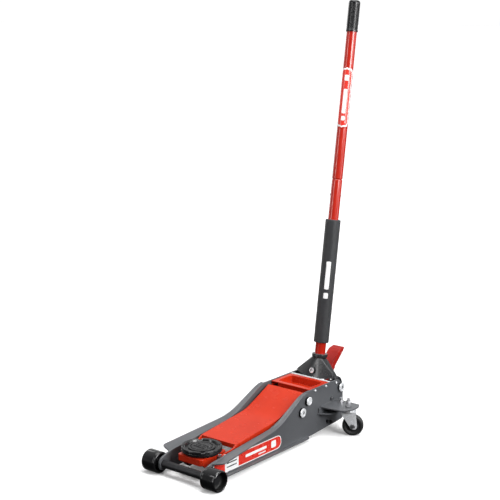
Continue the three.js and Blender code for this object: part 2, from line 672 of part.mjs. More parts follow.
function shieldSkin() {
  const { middle, wing, rear, sheet } = SHIELD;
  const corners = [middle, wing, rear].flatMap(({ low, high }) => [low, high]);
  const outside = bothSidesHull(corners.map(({ half, y, z }) => [half, y, z]));
  return cut(outside, shieldWedge(middle.low.z - 8, middle.high.z + 4, sheet, rear.high.y + 30));
}

// Two webs behind the shield hold the handle's socket.
function yokeWebs() {
  const sheet = 4;
  return [158, 190].map((z) => {
    const socketY = HANDLE.y + (z - HANDLE.z) * Math.tan(THREE.MathUtils.degToRad(HANDLE.lean));
    const plan = [[-90, 570], [90, 570], [90, 612], [30, socketY - 6], [14, socketY + 23]];
    const otherSide = plan.slice(2).toReversed().map(([x, y]) => [-x, y]);
    const web = slabZ([...plan, ...otherSide], z, z + sheet);
    return common(web, shieldWedge(z - 1, z + sheet + 1, 1, SHIELD.rear.high.y + 30));
  });
}

function yokeEar() {
  const web = slabX(
    [[599.5, 154], [603, 163], [612, 163], [636, 151], [650, 138], [640, 100], [606, 100], [594, 124, 8]],
    EAR.inner,
    EAR.outer,
  );
  return join(web, barX(EAR.radius, EAR.inner, EAR.outer, YOKE_PIVOT.y, YOKE_PIVOT.z, 24));
}

// The cam's radius grows evenly while the handle comes down, so the plunger moves in step with it.
function pumpCam() {
  const { x, width, low, high, sweep, start, back } = CAM;
  const steps = 12;
  const shares = Array.from({ length: steps + 1 }, (_, i) => i / steps);
  const lobe = shares.map((share) => fromPivot(start + sweep * share, low + (high - low) * share));
  const rest = shares.map((share) => {
    return fromPivot(start + sweep + 20 + 240 * share, share > 0 ? back : high - 4);
  });
  return slabX([...lobe, ...rest], x, x + width);
}

const shieldLean = Math.atan2(
  SHIELD.middle.high.y - SHIELD.middle.low.y,
  SHIELD.middle.high.z - SHIELD.middle.low.z,
);
// A piece pointing along Y, set on the shield's middle at the given height up its face.
const onShield = (geometry, height) =>
  geometry
    .translate(0, 0, height)
    .rotateX(-shieldLean)
    .translate(0, SHIELD.middle.low.y, SHIELD.middle.low.z);

const handleFrame = (geometry) =>
  geometry.rotateX(THREE.MathUtils.degToRad(-HANDLE.lean)).translate(0, HANDLE.y, HANDLE.z);

function handleYoke() {
  const { radius, y, z } = YOKE_PIVOT;
  const rightEar = yokeEar();
  const leftEar = rightEar.clone().translate(-EAR.inner - EAR.outer, 0, 0);
  const camHub = barX(CAM.back, CAM.x + 1, EAR.inner + 1, y, z);
  const body = join(shieldSkin(), ...yokeWebs(), rightEar, leftEar, camHub, pumpCam());
  const socketBore = handleFrame(barZ(SOCKET.radius + 0.4, 10, 100, 0, 0, 24));
  const boltHole = onShield(barY(SHIELD_BOLT.radius + GAP, -10, 12, 0, 0, 12), SHIELD_BOLT.height);
  return cut(body, socketBore, boltHole, barX(radius + GAP, -90, 90, y, z));
}

function shieldBolt() {
  const { radius, head, height, reach } = SHIELD_BOLT;
  const shank = [[0, -7], [radius, -7], [radius, GAP]];
  const cap = [[head, GAP], [head, reach - 1.5], [head - 1.5, reach], [0, reach]];
  return onShield(turnedZ([...shank, ...cap], 20).rotateX(Math.PI / 2), height);
}

add("handle_yoke", handleYoke(), "grey_paint");
add("shield_bolt", shieldBolt(), "zinc");
addPair("yoke_bolt", headedPin(YOKE_PIVOT, PEDAL.half - GAP, PIN_HEAD, 5), "zinc");

// ---- Foot pedal ----
// A channel that opens to the rear, on two arms from the yoke's pivot.
function footPedal() {
  const { half, sheet, bossRadius } = PEDAL;
  const { y, z, radius } = YOKE_PIVOT;
  const armEnd = [[646, 162, 8], [662, 178, 4], [676, 164, 4], [664, 152, 8]];
  const armOutline = [[y - 9, z + 8], ...armEnd, [y + 9, z - 8]];
  const padFront = [[650, 166, 3], [702, 212, 8], [727, 217, 3]];
  const padOutline = [...padFront, [727, 213.5, 3], [704, 208.5, 8], [654, 164.5, 2]];
  const flangeOutline = [[650, 166, 3], [702, 212, 8], [729, 216, 3], [718, 202, 6], [670, 158, 6]];
  const arms = [half, -half - sheet].flatMap((x) => [
    slabX(armOutline, x, x + sheet),
    barX(bossRadius, x, x + sheet, y, z),
  ]);
  const flanges = [half - sheet, -half - 0.1].map((x) => slabX(flangeOutline, x, x + sheet + 0.1));
  const pad = slabX(padOutline, -half + 1, half - 1);
  return cut(join(pad, ...flanges, ...arms), barX(radius + GAP, -40, 40, y, z));
}
add("foot_pedal", footPedal(), "red_paint");

// ---- Handle: drawn upright, then leaned back by the group ----
const handle = new THREE.Group();
handle.position.set(0, HANDLE.y, HANDLE.z);
handle.rotation.x = THREE.MathUtils.degToRad(-HANDLE.lean);
jack.add(handle);

// A tube as a closed profile, from [radius, height] outside points, low to high, and a bore.
const tube = (outside, bore, sides = 16) => {
  const bottom = outside[0][1];
  const top = outside.at(-1)[1];
  return turnedZ([[bore, bottom], ...outside, [bore, top], [bore, bottom]], sides);
};

function handleSocket() {
  const { radius, bottom, top, collar, collarBottom, stub, floor } = SOCKET;
  const bore = HANDLE.tube + GAP;
  const foot = [[0, 2], [stub, 2], [stub, bottom], [radius, bottom], [radius, collarBottom]];
  const lip = [[collar, collarBottom], [collar, top - 1], [collar - 1, top], [bore, top]];
  return turnedZ([...foot, ...lip, [bore, bottom + floor], [0, bottom + floor]], 24);
}

const snapHoles = (radius) => {
  const through = barX(radius, -30, 30, 0, SNAP.height, 12);
  return through.rotateZ(THREE.MathUtils.degToRad(SNAP.azimuth));
};

function lowerTube() {
  const bottom = SOCKET.bottom + SOCKET.floor + GAP;
  const wall = tube([[HANDLE.tube, bottom], [HANDLE.tube, HANDLE.joint]], HANDLE.bore);
  return cut(wall, snapHoles(SNAP.radius + GAP));
}

function upperTube() {
  const spigot = HANDLE.bore - GAP;
  const shoulder = HANDLE.joint + GAP;
  const top = HANDLE.top - 8;
  const outside = [[spigot, 545], [spigot, shoulder], [HANDLE.tube, shoulder], [HANDLE.tube, top]];
  return cut(tube(outside, 11), snapHoles(SNAP.radius + GAP));
}

function snapButton(side) {
  const profile = [[0, 9], [SNAP.radius, 9], [SNAP.radius, 16.8], [2.6, 18.2], [0, 18.6]];
  const turn = THREE.MathUtils.degToRad(SNAP.azimuth + (side < 0 ? 180 : 0));
  return turnedZ(profile, 12).rotateY(Math.PI / 2).rotateZ(turn).translate(0, 0, SNAP.height);
}

function foamSleeve() {
  const { radius, bottom, top } = SLEEVE;
  const outside = [[radius - 1, bottom], [radius, bottom + 1.5], [radius, top - 1.5], [radius - 1, top]];
  return tube(outside, HANDLE.tube + GAP, 20);
}

function gripSleeve() {
  const { radius, bottom } = GRIP;
  const bore = HANDLE.tube + GAP;
  const { top } = HANDLE;
  const profile = [
    [bore, bottom],
    [radius + 0.8, bottom],
    [radius + 0.8, bottom + 5],
    [radius, bottom + 6],
    [radius, top - 6],
    [radius - 5, top],
    [0, top],
    [0, top - 7.6],
    [bore, top - 7.6],
    [bore, bottom],
  ];
  return turnedZ(profile, 16);
}

add("handle_socket", handleSocket(), "red_paint", handle);
add("lower_tube", lowerTube(), "red_paint", handle);
add("foam_sleeve", foamSleeve(), "charcoal_foam", handle);
add("upper_tube", upperTube(), "red_paint", handle);
add("snap_button_right", snapButton(1), "zinc", handle);
add("snap_button_left", snapButton(-1), "zinc", handle);
add("handle_grip", gripSleeve(), "black_rubber", handle);

// ---- Origin: the middle of the footprint, on the floor ----
jack.updateMatrixWorld(true);
const bounds = new THREE.Box3().setFromObject(jack, true);
const centre = bounds.getCenter(new THREE.Vector3());
jack.position.set(-centre.x, -centre.y, -bounds.min.z);

export default jack;
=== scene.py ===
"""A low-profile trolley jack: painted plates, rubber, plated steel and a foam-sleeved handle.

Shapes are drawn in millimetres in the jack's drawing frame: X across (the right-hand side is +X),
Y from the front axle to the rear, Z up from the floor. Their meshes are in metres in the row frame.
"""

import json
import math
from functools import partial

import bmesh
import bpy
from mathutils import Matrix, Vector, noise


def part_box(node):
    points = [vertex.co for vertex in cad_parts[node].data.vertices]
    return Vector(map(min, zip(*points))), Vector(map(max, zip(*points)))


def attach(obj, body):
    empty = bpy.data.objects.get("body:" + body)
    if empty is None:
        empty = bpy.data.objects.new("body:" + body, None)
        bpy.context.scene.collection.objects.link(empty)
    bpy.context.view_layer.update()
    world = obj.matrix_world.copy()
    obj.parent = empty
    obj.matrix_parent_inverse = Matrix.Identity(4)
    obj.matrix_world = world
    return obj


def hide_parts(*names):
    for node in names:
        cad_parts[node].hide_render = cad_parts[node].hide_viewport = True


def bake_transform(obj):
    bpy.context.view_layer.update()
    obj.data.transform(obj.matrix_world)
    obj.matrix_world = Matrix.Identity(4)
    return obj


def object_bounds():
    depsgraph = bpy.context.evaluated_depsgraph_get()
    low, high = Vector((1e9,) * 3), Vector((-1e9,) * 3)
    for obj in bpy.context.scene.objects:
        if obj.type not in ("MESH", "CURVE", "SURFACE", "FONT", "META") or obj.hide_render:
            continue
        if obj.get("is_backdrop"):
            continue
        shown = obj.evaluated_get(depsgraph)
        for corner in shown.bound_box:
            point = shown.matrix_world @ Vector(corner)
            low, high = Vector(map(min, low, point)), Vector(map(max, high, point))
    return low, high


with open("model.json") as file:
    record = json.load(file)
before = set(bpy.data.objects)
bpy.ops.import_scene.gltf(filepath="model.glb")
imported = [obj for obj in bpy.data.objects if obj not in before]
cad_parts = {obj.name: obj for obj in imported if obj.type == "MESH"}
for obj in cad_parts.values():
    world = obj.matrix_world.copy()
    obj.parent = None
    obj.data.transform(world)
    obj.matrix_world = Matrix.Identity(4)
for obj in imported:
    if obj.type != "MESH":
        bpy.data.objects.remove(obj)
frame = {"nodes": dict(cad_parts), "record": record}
cad_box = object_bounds()

MM = 0.001
NODES = frame["nodes"]
BODY_OF = {n: b for b, ns in frame["record"]["behaviour"]["bodies"].items() for n in ns}
axle_low, axle_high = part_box("front_axle")
AXLE_Y = (axle_low.y + axle_high.y) / 2

# ---- Driving dimensions ----
PLATE_OUTER = 78
WHEEL = {"radius": 30, "inner": 82.6, "outer": 131.7, "cup": 25, "floor": 112, "bore": 11.3}
AXLE = {"z": 30}
ARM_PIVOT = {"y": 456, "z": 123, "radius": 11, "head": 13, "reach": 9}
TORQUE_PIN = {"y": 427, "z": 95, "radius": 7, "head": 14, "reach": 8, "inner": 45}
YOKE_PIVOT = {"y": 624, "z": 124, "radius": 8, "head": 14, "reach": 8, "inner": 20.2}
SADDLE = {"y": 74, "radius": 56.5, "top": 79, "bottom": 66, "cup": 51, "cup_bottom": 60.4, "stem": 12}
CASTER = {"x": 144, "y": 574, "trail": 14, "yaw": 32, "radius": 32, "half": 10.5, "hub": 23.8}
HANDLE = {"y": 612.6, "z": 124, "lean": 8.25, "tube": 16, "bore": 13.6, "joint": 628, "top": 1165}
SLEEVE = {"radius": 23.5, "bottom": 127, "top": 505}
GRIP = {"radius": 17.5, "bottom": 1071}
SNAP = {"height": 581, "radius": 4, "azimuth": 39}
SHIELD_FACE = {"low": (582, 148), "high": (604, 205.8), "height": 22}


def place(x, y, z):
    """A point of the drawing frame, in the row frame."""
    return Vector((x * MM, y * MM + AXLE_Y, z * MM))


def drawn_at(x=0, y=0, z=0, turn=None):
    """The matrix that takes a local shape in millimetres to the row frame."""
    matrix = Matrix.Translation(place(x, y, z)) @ Matrix.Scale(MM, 4)
    return matrix @ turn if turn else matrix


ALONG_X = Matrix.Rotation(math.radians(90), 4, "Y")
MIRROR_X = Matrix.Scale(-1, 4, Vector((1, 0, 0)))
SIDES = (("right", Matrix.Identity(4)), ("left", MIRROR_X))
HANDLE_LEAN = Matrix.Rotation(math.radians(-HANDLE["lean"]), 4, "X")
HANDLE_FRAME = drawn_at(0, HANDLE["y"], HANDLE["z"], HANDLE_LEAN)


# ---- Materials ----
class Nodes:
    """A small helper that writes one node material."""

    def __init__(self, name):
        self.material = bpy.data.materials.new(name)
        self.material.use_nodes = True
        self.tree = self.material.node_tree
        self.shader = self.tree.nodes["Principled BSDF"]
        self.place = self.add("ShaderNodeTexCoord").outputs["Object"]

    def add(self, kind, **settings):
        node = self.tree.nodes.new(kind)
        for key, value in settings.items():
            if key in node.inputs:
                node.inputs[key].default_value = value
            else:
                setattr(node, key, value)
        return node

    def link(self, start, end):
        self.tree.links.new(start, end)

    def noise(self, scale, detail=3.0, rough=0.55, stretch=None):
        node = self.add("ShaderNodeTexNoise", Scale=scale, Detail=detail, Roughness=rough)
        if stretch:
            mapping = self.add("ShaderNodeMapping", Scale=stretch)
            self.link(self.place, mapping.inputs["Vector"])
            self.link(mapping.outputs["Vector"], node.inputs["Vector"])
        else:
            self.link(self.place, node.inputs["Vector"])
        return node.outputs["Fac"]

    def spread(self, value, low, high, start=0.3, end=0.7):
        node = self.add("ShaderNodeMapRange")
        for key, number in (("From Min", start), ("From Max", end), ("To Min", low), ("To Max", high)):
            node.inputs[key].default_value = number
        self.link(value, node.inputs["Value"])
        return node.outputs["Result"]

    def times(self, a, b):
        node = self.add("ShaderNodeMath", operation="MULTIPLY")
        self.link(a, node.inputs[0])
        self.link(b, node.inputs[1])
        return node.outputs["Value"]

    def mix(self, share, first, second):
        node = self.add("ShaderNodeMix", data_type="RGBA")
        self.link(share, node.inputs["Factor"])
        for value, socket in ((first, node.inputs[6]), (second, node.inputs[7])):
            if isinstance(value, tuple):
                socket.default_value = (*value, 1)
            else:
                self.link(value, socket)
        return node.outputs[2]

    def bump(self, height, strength, distance, under=None):
        node = self.add("ShaderNodeBump", Strength=strength, Distance=distance)
        self.link(height, node.inputs["Height"])
        if under:
            self.link(under, node.inputs["Normal"])
        return node.outputs["Normal"]

    def edges(self, radius, start=0.16, end=0.4):
        """1 along the outer and inner edges of the shape, 0 on flat faces."""
        bevel = self.add("ShaderNodeBevel", samples=4)
        bevel.inputs["Radius"].default_value = radius
        flat = self.add("ShaderNodeNewGeometry")
        dot = self.add("ShaderNodeVectorMath", operation="DOT_PRODUCT")
        self.link(bevel.outputs["Normal"], dot.inputs[0])
        self.link(flat.outputs["Normal"], dot.inputs[1])
        return self.spread(dot.outputs["Value"], 1, 0, 1 - end, 1 - start)

    def finish(self, **settings):
        for key, value in settings.items():
            socket = self.shader.inputs[key.replace("_", " ")]
            if isinstance(value, bpy.types.NodeSocket):
                self.link(value, socket)
            else:
                socket.default_value = value
        return self.material


# The colour that lightens a coat's edges: partly primer showing through rubbed wear, partly painted
# highlight.
PRIMER_WEAR_AND_EDGE_HIGHLIGHT = (0.55, 0.55, 0.56)


def powder_coat(name, colour, shade, rough=(0.3, 0.42), edge_colour_worn_and_highlit=PRIMER_WEAR_AND_EDGE_HIGHLIGHT, coat=0.25, shine=0.5):
    """Sprayed powder coat: orange peel, soft mottling, faint dust, and edges lightened in patches, partly
    rubbed wear and partly painted highlight.
    """
    n = Nodes(name)
    body = n.mix(n.spread(n.noise(9), 0, 1), colour, shade)
    speck = n.spread(n.noise(900, 2), 0, 0.12, 0.45, 0.75)
    body = n.mix(speck, body, shade)
    # The edges are lightened in patches: partly rubbed wear, partly painted highlight.
    worn_and_highlit_edges = n.times(n.edges(0.0009), n.spread(n.noise(160, 4), 0, 0.55, 0.42, 0.66))
    body = n.mix(worn_and_highlit_edges, body, edge_colour_worn_and_highlit)
    peel = n.bump(n.noise(420, 2), 0.16, 0.0006)
    grain = n.bump(n.noise(2600, 2), 0.08, 0.0002, peel)
    roughness = n.spread(n.noise(26, 4), *rough)
    material = n.finish(Base_Color=body, Roughness=roughness, Normal=grain)
    n.finish(Coat_Weight=coat, Coat_Roughness=0.22, Specular_IOR_Level=shine)
    return material


BRUSHING = (1, 1, 12)


def bare_metal(name, colour, shade, rough=(0.2, 0.36), metallic=0.95):
    """Plated or machined steel: cloudy plating, fine brushing, small scratches."""
    n = Nodes(name)
    cloud = n.spread(n.noise(60, 4), 0, 1)
    body = n.mix(cloud, colour, shade)
    brushed = n.noise(300, 5, 0.7, BRUSHING)
    roughness = n.spread(n.times(brushed, n.noise(90, 3)), rough[0], rough[1], 0.12, 0.4)
    normal = n.bump(brushed, 0.12, 0.0002)
    material = n.finish(Base_Color=body, Roughness=roughness, Normal=normal)
    n.finish(Metallic=metallic)
    return material


def moulded(name, colour, shade, rough=(0.25, 0.35), grain=(1400, 0.08), coat=0.0):
    """Moulded plastic or rubber: a fine skin with flow marks, slightly dusty."""
    n = Nodes(name)
    body = n.mix(n.spread(n.noise(30, 4), 0, 1), colour, shade)
    dust = n.spread(n.noise(500, 5), 0, 0.05, 0.55, 0.8)
    body = n.mix(dust, body, (0.22, 0.22, 0.22))
    roughness = n.spread(n.noise(70, 4), *rough)
    normal = n.bump(n.noise(grain[0], 3), grain[1], 0.0004)
    material = n.finish(Base_Color=body, Roughness=roughness, Normal=normal)
    n.finish(Coat_Weight=coat, Coat_Roughness=0.1)
    return material


def foam(name):
    """Closed-cell foam: small dimpled cells that catch the light, their hollows painted darker as painted
    shade, and a matte, slightly uneven skin.
    """
    n = Nodes(name)
    cells = n.add("ShaderNodeTexVoronoi", Scale=1100.0)
    n.link(n.place, cells.inputs["Vector"])
    cell = cells.outputs["Distance"]
    body = n.mix(n.spread(n.noise(18, 4), 0, 1), (0.024, 0.026, 0.029), (0.016, 0.017, 0.019))
    # Painted shade: each cell is painted darker where its bump dips into a hollow.
    body = n.mix(n.spread(cell, 0.5, 0, 0.0, 0.5), body, (0.012, 0.012, 0.013))
    normal = n.bump(cell, 0.35, 0.0006)
    normal = n.bump(n.noise(120, 4), 0.25, 0.001, normal)
    roughness = n.spread(n.noise(200, 3), 0.5, 0.66)
    material = n.finish(Base_Color=body, Roughness=roughness, Normal=normal)
    n.finish(Sheen_Weight=0.15, Sheen_Roughness=0.5)
    return material


def printed_film(name, colour, shade, rough=(0.22, 0.34)):
    """A vinyl label: even ink, tiny ripples from laying it down."""
    n = Nodes(name)
    body = n.mix(n.spread(n.noise(40, 3), 0, 1), colour, shade)
    roughness = n.spread(n.noise(60, 3), *rough)
    normal = n.bump(n.noise(220, 2), 0.05, 0.0004)
    material = n.finish(Base_Color=body, Roughness=roughness, Normal=normal)
    n.finish(Coat_Weight=0.3, Coat_Roughness=0.15)
    return material


# In each red coat below, the pale red after the roughness lightens the edges: partly rubbed wear, partly
# painted highlight.
RED = powder_coat(
    "red_powder_coat", (0.54, 0.032, 0.008), (0.46, 0.024, 0.006), (0.2, 0.3), (0.76, 0.2, 0.15), 0.1, 0.32
)
# The pedal's coat is the same red paint made darker: painted shade.
RED_PEDAL_PAINTED_SHADE = powder_coat(
    "red_pedal_painted_shade", (0.40, 0.016, 0.010), (0.32, 0.010, 0.007), (0.3, 0.4), (0.7, 0.2, 0.16), 0.1, 0.4
)
RED_TUBE = powder_coat(
    "red_gloss_enamel", (0.50, 0.020, 0.008), (0.42, 0.014, 0.006), (0.1, 0.16), (0.7, 0.2, 0.15), 0.5, 0.5
)
GREY = powder_coat("grey_powder_coat", (0.100, 0.104, 0.112), (0.084, 0.088, 0.095), (0.3, 0.42), shine=0.6)
DARK_GREY = powder_coat("dark_powder_coat", (0.060, 0.063, 0.068), (0.046, 0.049, 0.053), (0.4, 0.52))
# The grey after the roughness lightens this coat's edges: partly rubbed wear, partly painted highlight.
BLACK_PAINT = powder_coat(
    "black_powder_coat",
    (0.022, 0.023, 0.025),
    (0.016, 0.017, 0.019),
    (0.24, 0.34),
    (0.1, 0.1, 0.1),
    shine=0.6,
)
ZINC = bare_metal("bright_zinc", (0.84, 0.85, 0.87), (0.74, 0.76, 0.78), (0.18, 0.32), metallic=0.3)
STEEL = bare_metal("machined_steel", (0.56, 0.56, 0.57), (0.44, 0.44, 0.46), (0.24, 0.42))
CHROME = bare_metal("ram_chrome", (0.80, 0.80, 0.81), (0.72, 0.73, 0.74), (0.06, 0.16))
OXIDE = bare_metal("black_oxide", (0.030, 0.031, 0.034), (0.018, 0.018, 0.020), (0.3, 0.5), metallic=0.4)
GLOSS_BLACK = moulded(
    "wheel_enamel", (0.007, 0.007, 0.008), (0.011, 0.011, 0.012), (0.07, 0.12), (500, 0.02), 0.4
)
# The inside of each wheel's cup: the wheel's enamel made darker and matt, painted shade in the recess.
CUP_PAINTED_SHADE = moulded("wheel_cup_painted_shade", (0.005, 0.005, 0.005), (0.008, 0.008, 0.008), (0.5, 0.7), (700, 0.1))
RUBBER = moulded("black_rubber", (0.006, 0.006, 0.007), (0.010, 0.010, 0.011), (0.2, 0.3), (1600, 0.1))
TREAD = moulded("caster_rubber", (0.012, 0.012, 0.012), (0.022, 0.022, 0.022), (0.42, 0.6), (900, 0.15))
HUB = moulded("caster_hub", (0.020, 0.020, 0.021), (0.03, 0.03, 0.031), (0.35, 0.5), (1200, 0.1))
FOAM = foam("closed_cell_foam")
LABEL_RED = printed_film("label_red", (0.74, 0.045, 0.030), (0.70, 0.038, 0.025))
LABEL_WHITE = printed_film("label_white", (0.93, 0.93, 0.93), (0.90, 0.90, 0.90))
LABEL_BLACK = printed_film("label_black", (0.03, 0.03, 0.03), (0.04, 0.04, 0.04))


# ---- Mesh tools ----
def soften(points, closed=False, steps=4):
    """A line of (a, b, soft) corners; soft is how far from a corner its rounding starts."""
    line = []
    count = len(points)
    for i, point in enumerate(points):
        corner = Vector(point[:2])
        soft = point[2] if len(point) > 2 else 0
        inner = closed or 0 < i < count - 1
        if not soft or not inner:
            line.append(corner)
            continue
        before = Vector(points[i - 1][:2])
        after = Vector(points[(i + 1) % count][:2])
        start = corner + (before - corner).normalized() * min(soft, (before - corner).length * 0.49)
        end = corner + (after - corner).normalized() * min(soft, (after - corner).length * 0.49)
        for k in range(steps + 1):
            t = k / steps
            line.append(start * (1 - t) ** 2 + corner * 2 * t * (1 - t) + end * t * t)
    return line


def turned(profile, sides=64, closed=False, wobble=None):
    """A bmesh turned about Z from a (radius, height) line; a closed line makes a ring."""
    bm = bmesh.new()
    rings = []
    for radius, height in profile:
        if radius < 1e-6:
            rings.append([bm.verts.new((0, 0, height))])
            continue
        ring = []
        for i in range(sides):
            angle = 2 * math.pi * i / sides
            r = radius + (wobble(angle, radius, height) if wobble else 0)
            ring.append(bm.verts.new((r * math.cos(angle), r * math.sin(angle), height)))
        rings.append(ring)
    pairs = list(zip(rings, rings[1:]))
    if closed:
        pairs.append((rings[-1], rings[0]))
    for low, high in pairs:
        for i in range(sides):
            j = (i + 1) % sides
            corners = [low[i % len(low)], low[j % len(low)], high[j % len(high)], high[i % len(high)]]
            unique = list(dict.fromkeys(corners))
            if len(unique) > 2:
                bm.faces.new(unique)
    if not closed:
        for ring in (rings[0], rings[-1]):
            if len(ring) > 1:
                bm.faces.new(ring)
    return bm


def slab(corners, depth, steps=5, rim=0.0):
    """A bmesh of a (a, b, soft) outline in XY, extruded along Z from 0 to depth, its rims rounded."""
    line = soften(corners, True, steps)
    bm = bmesh.new()
    bottom = bm.faces.new([bm.verts.new((p.x, p.y, 0)) for p in line])
    grown = bmesh.ops.extrude_face_region(bm, geom=[bottom])
    top = [v for v in grown["geom"] if isinstance(v, bmesh.types.BMVert)]
    bmesh.ops.translate(bm, verts=top, vec=(0, 0, depth))
    if rim > 0:
        flat = [e for e in bm.edges if abs(e.verts[0].co.z - e.verts[1].co.z) < 1e-6]
        bmesh.ops.bevel(bm, geom=flat, offset=rim, segments=2, profile=0.5, affect="EDGES")
    return bm


def bridge(bm, rings):
    """Four-sided faces between each ring of vertices and the next."""
    count = len(rings[0])
    for low, high in zip(rings, rings[1:]):
        for i in range(count):
            j = (i + 1) % count
            bm.faces.new([low[i], low[j], high[j], high[i]])


def ring_round(bm, middle, side, up, radius, sides):
    """A ring of vertices round a point, across the directions side and up."""
    spokes = [2 * math.pi * i / sides for i in range(sides)]
    spots = [middle + side * radius * math.cos(a) + up * radius * math.sin(a) for a in spokes]
    return [bm.verts.new(spot) for spot in spots]


def capped(bm, rings):
    """A tube over the rings, closed at both ends."""
    bridge(bm, rings)
    bm.faces.new(rings[0])
    bm.faces.new(rings[-1])
    return bm


def tube_along(points, radius, sides=10):
    """A bmesh of a round wire along points."""
    bm = bmesh.new()
    rings = []
    up = Vector((0.3, 0.2, 1)).normalized()
    for i, point in enumerate(points):
        ahead = points[min(i + 1, len(points) - 1)] - points[max(i - 1, 0)]
        ahead.normalize()
        side = ahead.cross(up).normalized()
        up = side.cross(ahead).normalized()
        rings.append(ring_round(bm, point, side, up, radius, sides))
    return capped(bm, rings)


def merged(*shapes):
    """Several bmeshes as one."""
    joined = bmesh.new()
    for shape in shapes:
        mesh = bpy.data.meshes.new("part")
        shape.to_mesh(mesh)
        joined.from_mesh(mesh)
        bpy.data.meshes.remove(mesh)
        shape.free()
    return joined


def moved(bm, matrix):
    """The same bmesh, with its vertices taken through the matrix."""
    bmesh.ops.transform(bm, matrix=matrix, verts=bm.verts)
    return bm


def piece(name, bm, matrix, materials, body, slot=None, nodes=(), angle=32, choose=None):
    """An object from a bmesh: placed, shaded, with its materials, its body and the nodes it stands for.

    A piece that bends between two bodies has no body here.
    """
    moved(bm, matrix)
    bmesh.ops.recalc_face_normals(bm, faces=bm.faces)
    mesh = bpy.data.meshes.new(name)
    bm.to_mesh(mesh)
    bm.free()
    materials = materials if isinstance(materials, (list, tuple)) else [materials]
    for material in materials:
        mesh.materials.append(material)
    if choose:
        for face in mesh.polygons:
            face.material_index = choose(face)
    mesh.shade_smooth()
    mesh.set_sharp_from_angle(angle=math.radians(angle))
    obj = bpy.data.objects.new(name, mesh)
    bpy.context.scene.collection.objects.link(obj)
    if body:
        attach(obj, body)
    if nodes:
        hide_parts(*nodes)
    return obj


def stand_in(node, bm, matrix, materials, slot, **more):
    """A detailed piece in the place of one node."""
    return piece(f"{node}_detailed", bm, matrix, materials, BODY_OF[node], slot, (node,), **more)


def on_both_sides(name, make, matrix, materials, slot, **more):
    """The same piece for the right and mirrored for the left."""
    for side, mirror in SIDES:
        stand_in(f"{name}_{side}", make(), mirror @ matrix, materials, slot, **more)


def dress(node, material, width=0.6, angle=35, segments=2):
    """A finer copy of one node: welded, with every hard edge rounded over."""
    bm = bmesh.new()
    bm.from_mesh(NODES[node].data)
    bmesh.ops.remove_doubles(bm, verts=bm.verts, dist=0.00002)
    hard = [e for e in bm.edges if len(e.link_faces) == 2 and e.calc_face_angle(0) > math.radians(angle)]
    bmesh.ops.bevel(
        bm, geom=hard, offset=width * MM, segments=segments, profile=0.5, affect="EDGES", clamp_overlap=False
    )
    obj = stand_in(node, bm, Matrix.Identity(4), material, SLOT_OF[material], angle=50)
    shade = obj.modifiers.new("shade", "WEIGHTED_NORMAL")
    shade.mode = "FACE_AREA"
    shade.weight = 90
    shade.keep_sharp = True
    return obj


SLOT_OF = {
    RED: "red_paint",
    RED_PEDAL_PAINTED_SHADE: "red_paint",
    GREY: "grey_paint",
    DARK_GREY: "grey_paint",
    BLACK_PAINT: "grey_paint",
    ZINC: "zinc",
    STEEL: "steel",
    CHROME: "steel",
    OXIDE: "black_oxide",
    RUBBER: "black_rubber",
}

# ---- Parts that keep their shape: (material, rounding of the edges in millimetres) ----
DRESSED = {
    "side_plate": (GREY, 0.8),
    "caster_bracket": (GREY, 0.5),
    "caster_fork": (ZINC, 0.5),
    "torque_rod": (STEEL, 0.5),
    "link_pin": (ZINC, 0.4),
    "block_bolt": (DARK_GREY, 0.5),
}
for name, (material, width) in DRESSED.items():
    for side in ("right", "left"):
        dress(f"{name}_{side}", material, width)

SINGLE = {
    "front_axle": (OXIDE, 0.5),
    "front_tie_bar": (GREY, 0.4),
    "tool_tray": (RED, 0.7),
    "rear_cross_bar": (ZINC, 0.6),
    "lift_arm": (RED, 0.9),
    "saddle_pin": (ZINC, 0.4),
    "crank_pin": (STEEL, 0.4),
    "saddle_carrier": (RED, 0.9),
    "hydraulic_block": (DARK_GREY, 0.8),
    "ram_cylinder": (DARK_GREY, 0.6),
    "ram_rod": (CHROME, 0.4),
    "ram_crosshead": (STEEL, 0.8),
    "filler_plug": (RUBBER, 0.4),
    "handle_yoke": (BLACK_PAINT, 0.7),
    # The pedal takes the darker copy of the red paint, as painted shade.
    "foot_pedal": (RED_PEDAL_PAINTED_SHADE, 0.7),
}
for name, (material, width) in SINGLE.items():
    dress(name, material, width)


# ---- Front wheels ----
def front_wheel():
    """A heavy roller: rounded tread edges, a dished outer face and a stepped hub inside it."""
    radius, inner, outer = WHEEL["radius"], WHEEL["inner"], WHEEL["outer"]
    cup, floor, bore = WHEEL["cup"], WHEEL["floor"], WHEEL["bore"]
    line = [
        (bore, inner + 3),
        (17, inner + 3, 1),
        (17, inner + 14, 1.5),
        (cup, inner + 14, 1.5),
        (cup, inner, 0.8),
        (radius - 1.5, inner, 1.5),
        (radius, inner + 2, 1.2),
        (radius, inner + 6, 0.4),
        (radius - 0.35, inner + 6.4, 0.3),
        (radius - 0.35, inner + 7.4, 0.3),
        (radius, inner + 7.8, 0.4),
        (radius, outer - 3, 2),
        (radius - 2.5, outer, 2),
        (cup + 0.6, outer, 0.8),
        (cup, outer - 1.2, 0.8),
        (cup, floor + 4, 2.5),
        (cup - 3, floor, 2.5),
        (bore + 6, floor, 1),
        (bore + 5, floor - 0.6, 0.5),
        (bore, floor - 0.6),
    ]
    return turned(soften(line, True), 96, closed=True)


def cup_face(face):
    """1 for the faces inside a wheel's cup, a darker matt copy of the enamel as painted shade; 0 for the
    glossy rest.
    """
    hub = place(0, 0, AXLE["z"])
    from_hub = math.hypot(face.center.y - hub.y, face.center.z - hub.z)
    return int(from_hub < (WHEEL["cup"] + 0.2) * MM and abs(face.center.x) > (WHEEL["floor"] - 1) * MM)


wheel_place = drawn_at(0, 0, AXLE["z"], ALONG_X)
wheel_materials = [GLOSS_BLACK, CUP_PAINTED_SHADE]
on_both_sides("front_wheel", front_wheel, wheel_place, wheel_materials, "black_wheel", choose=cup_face)
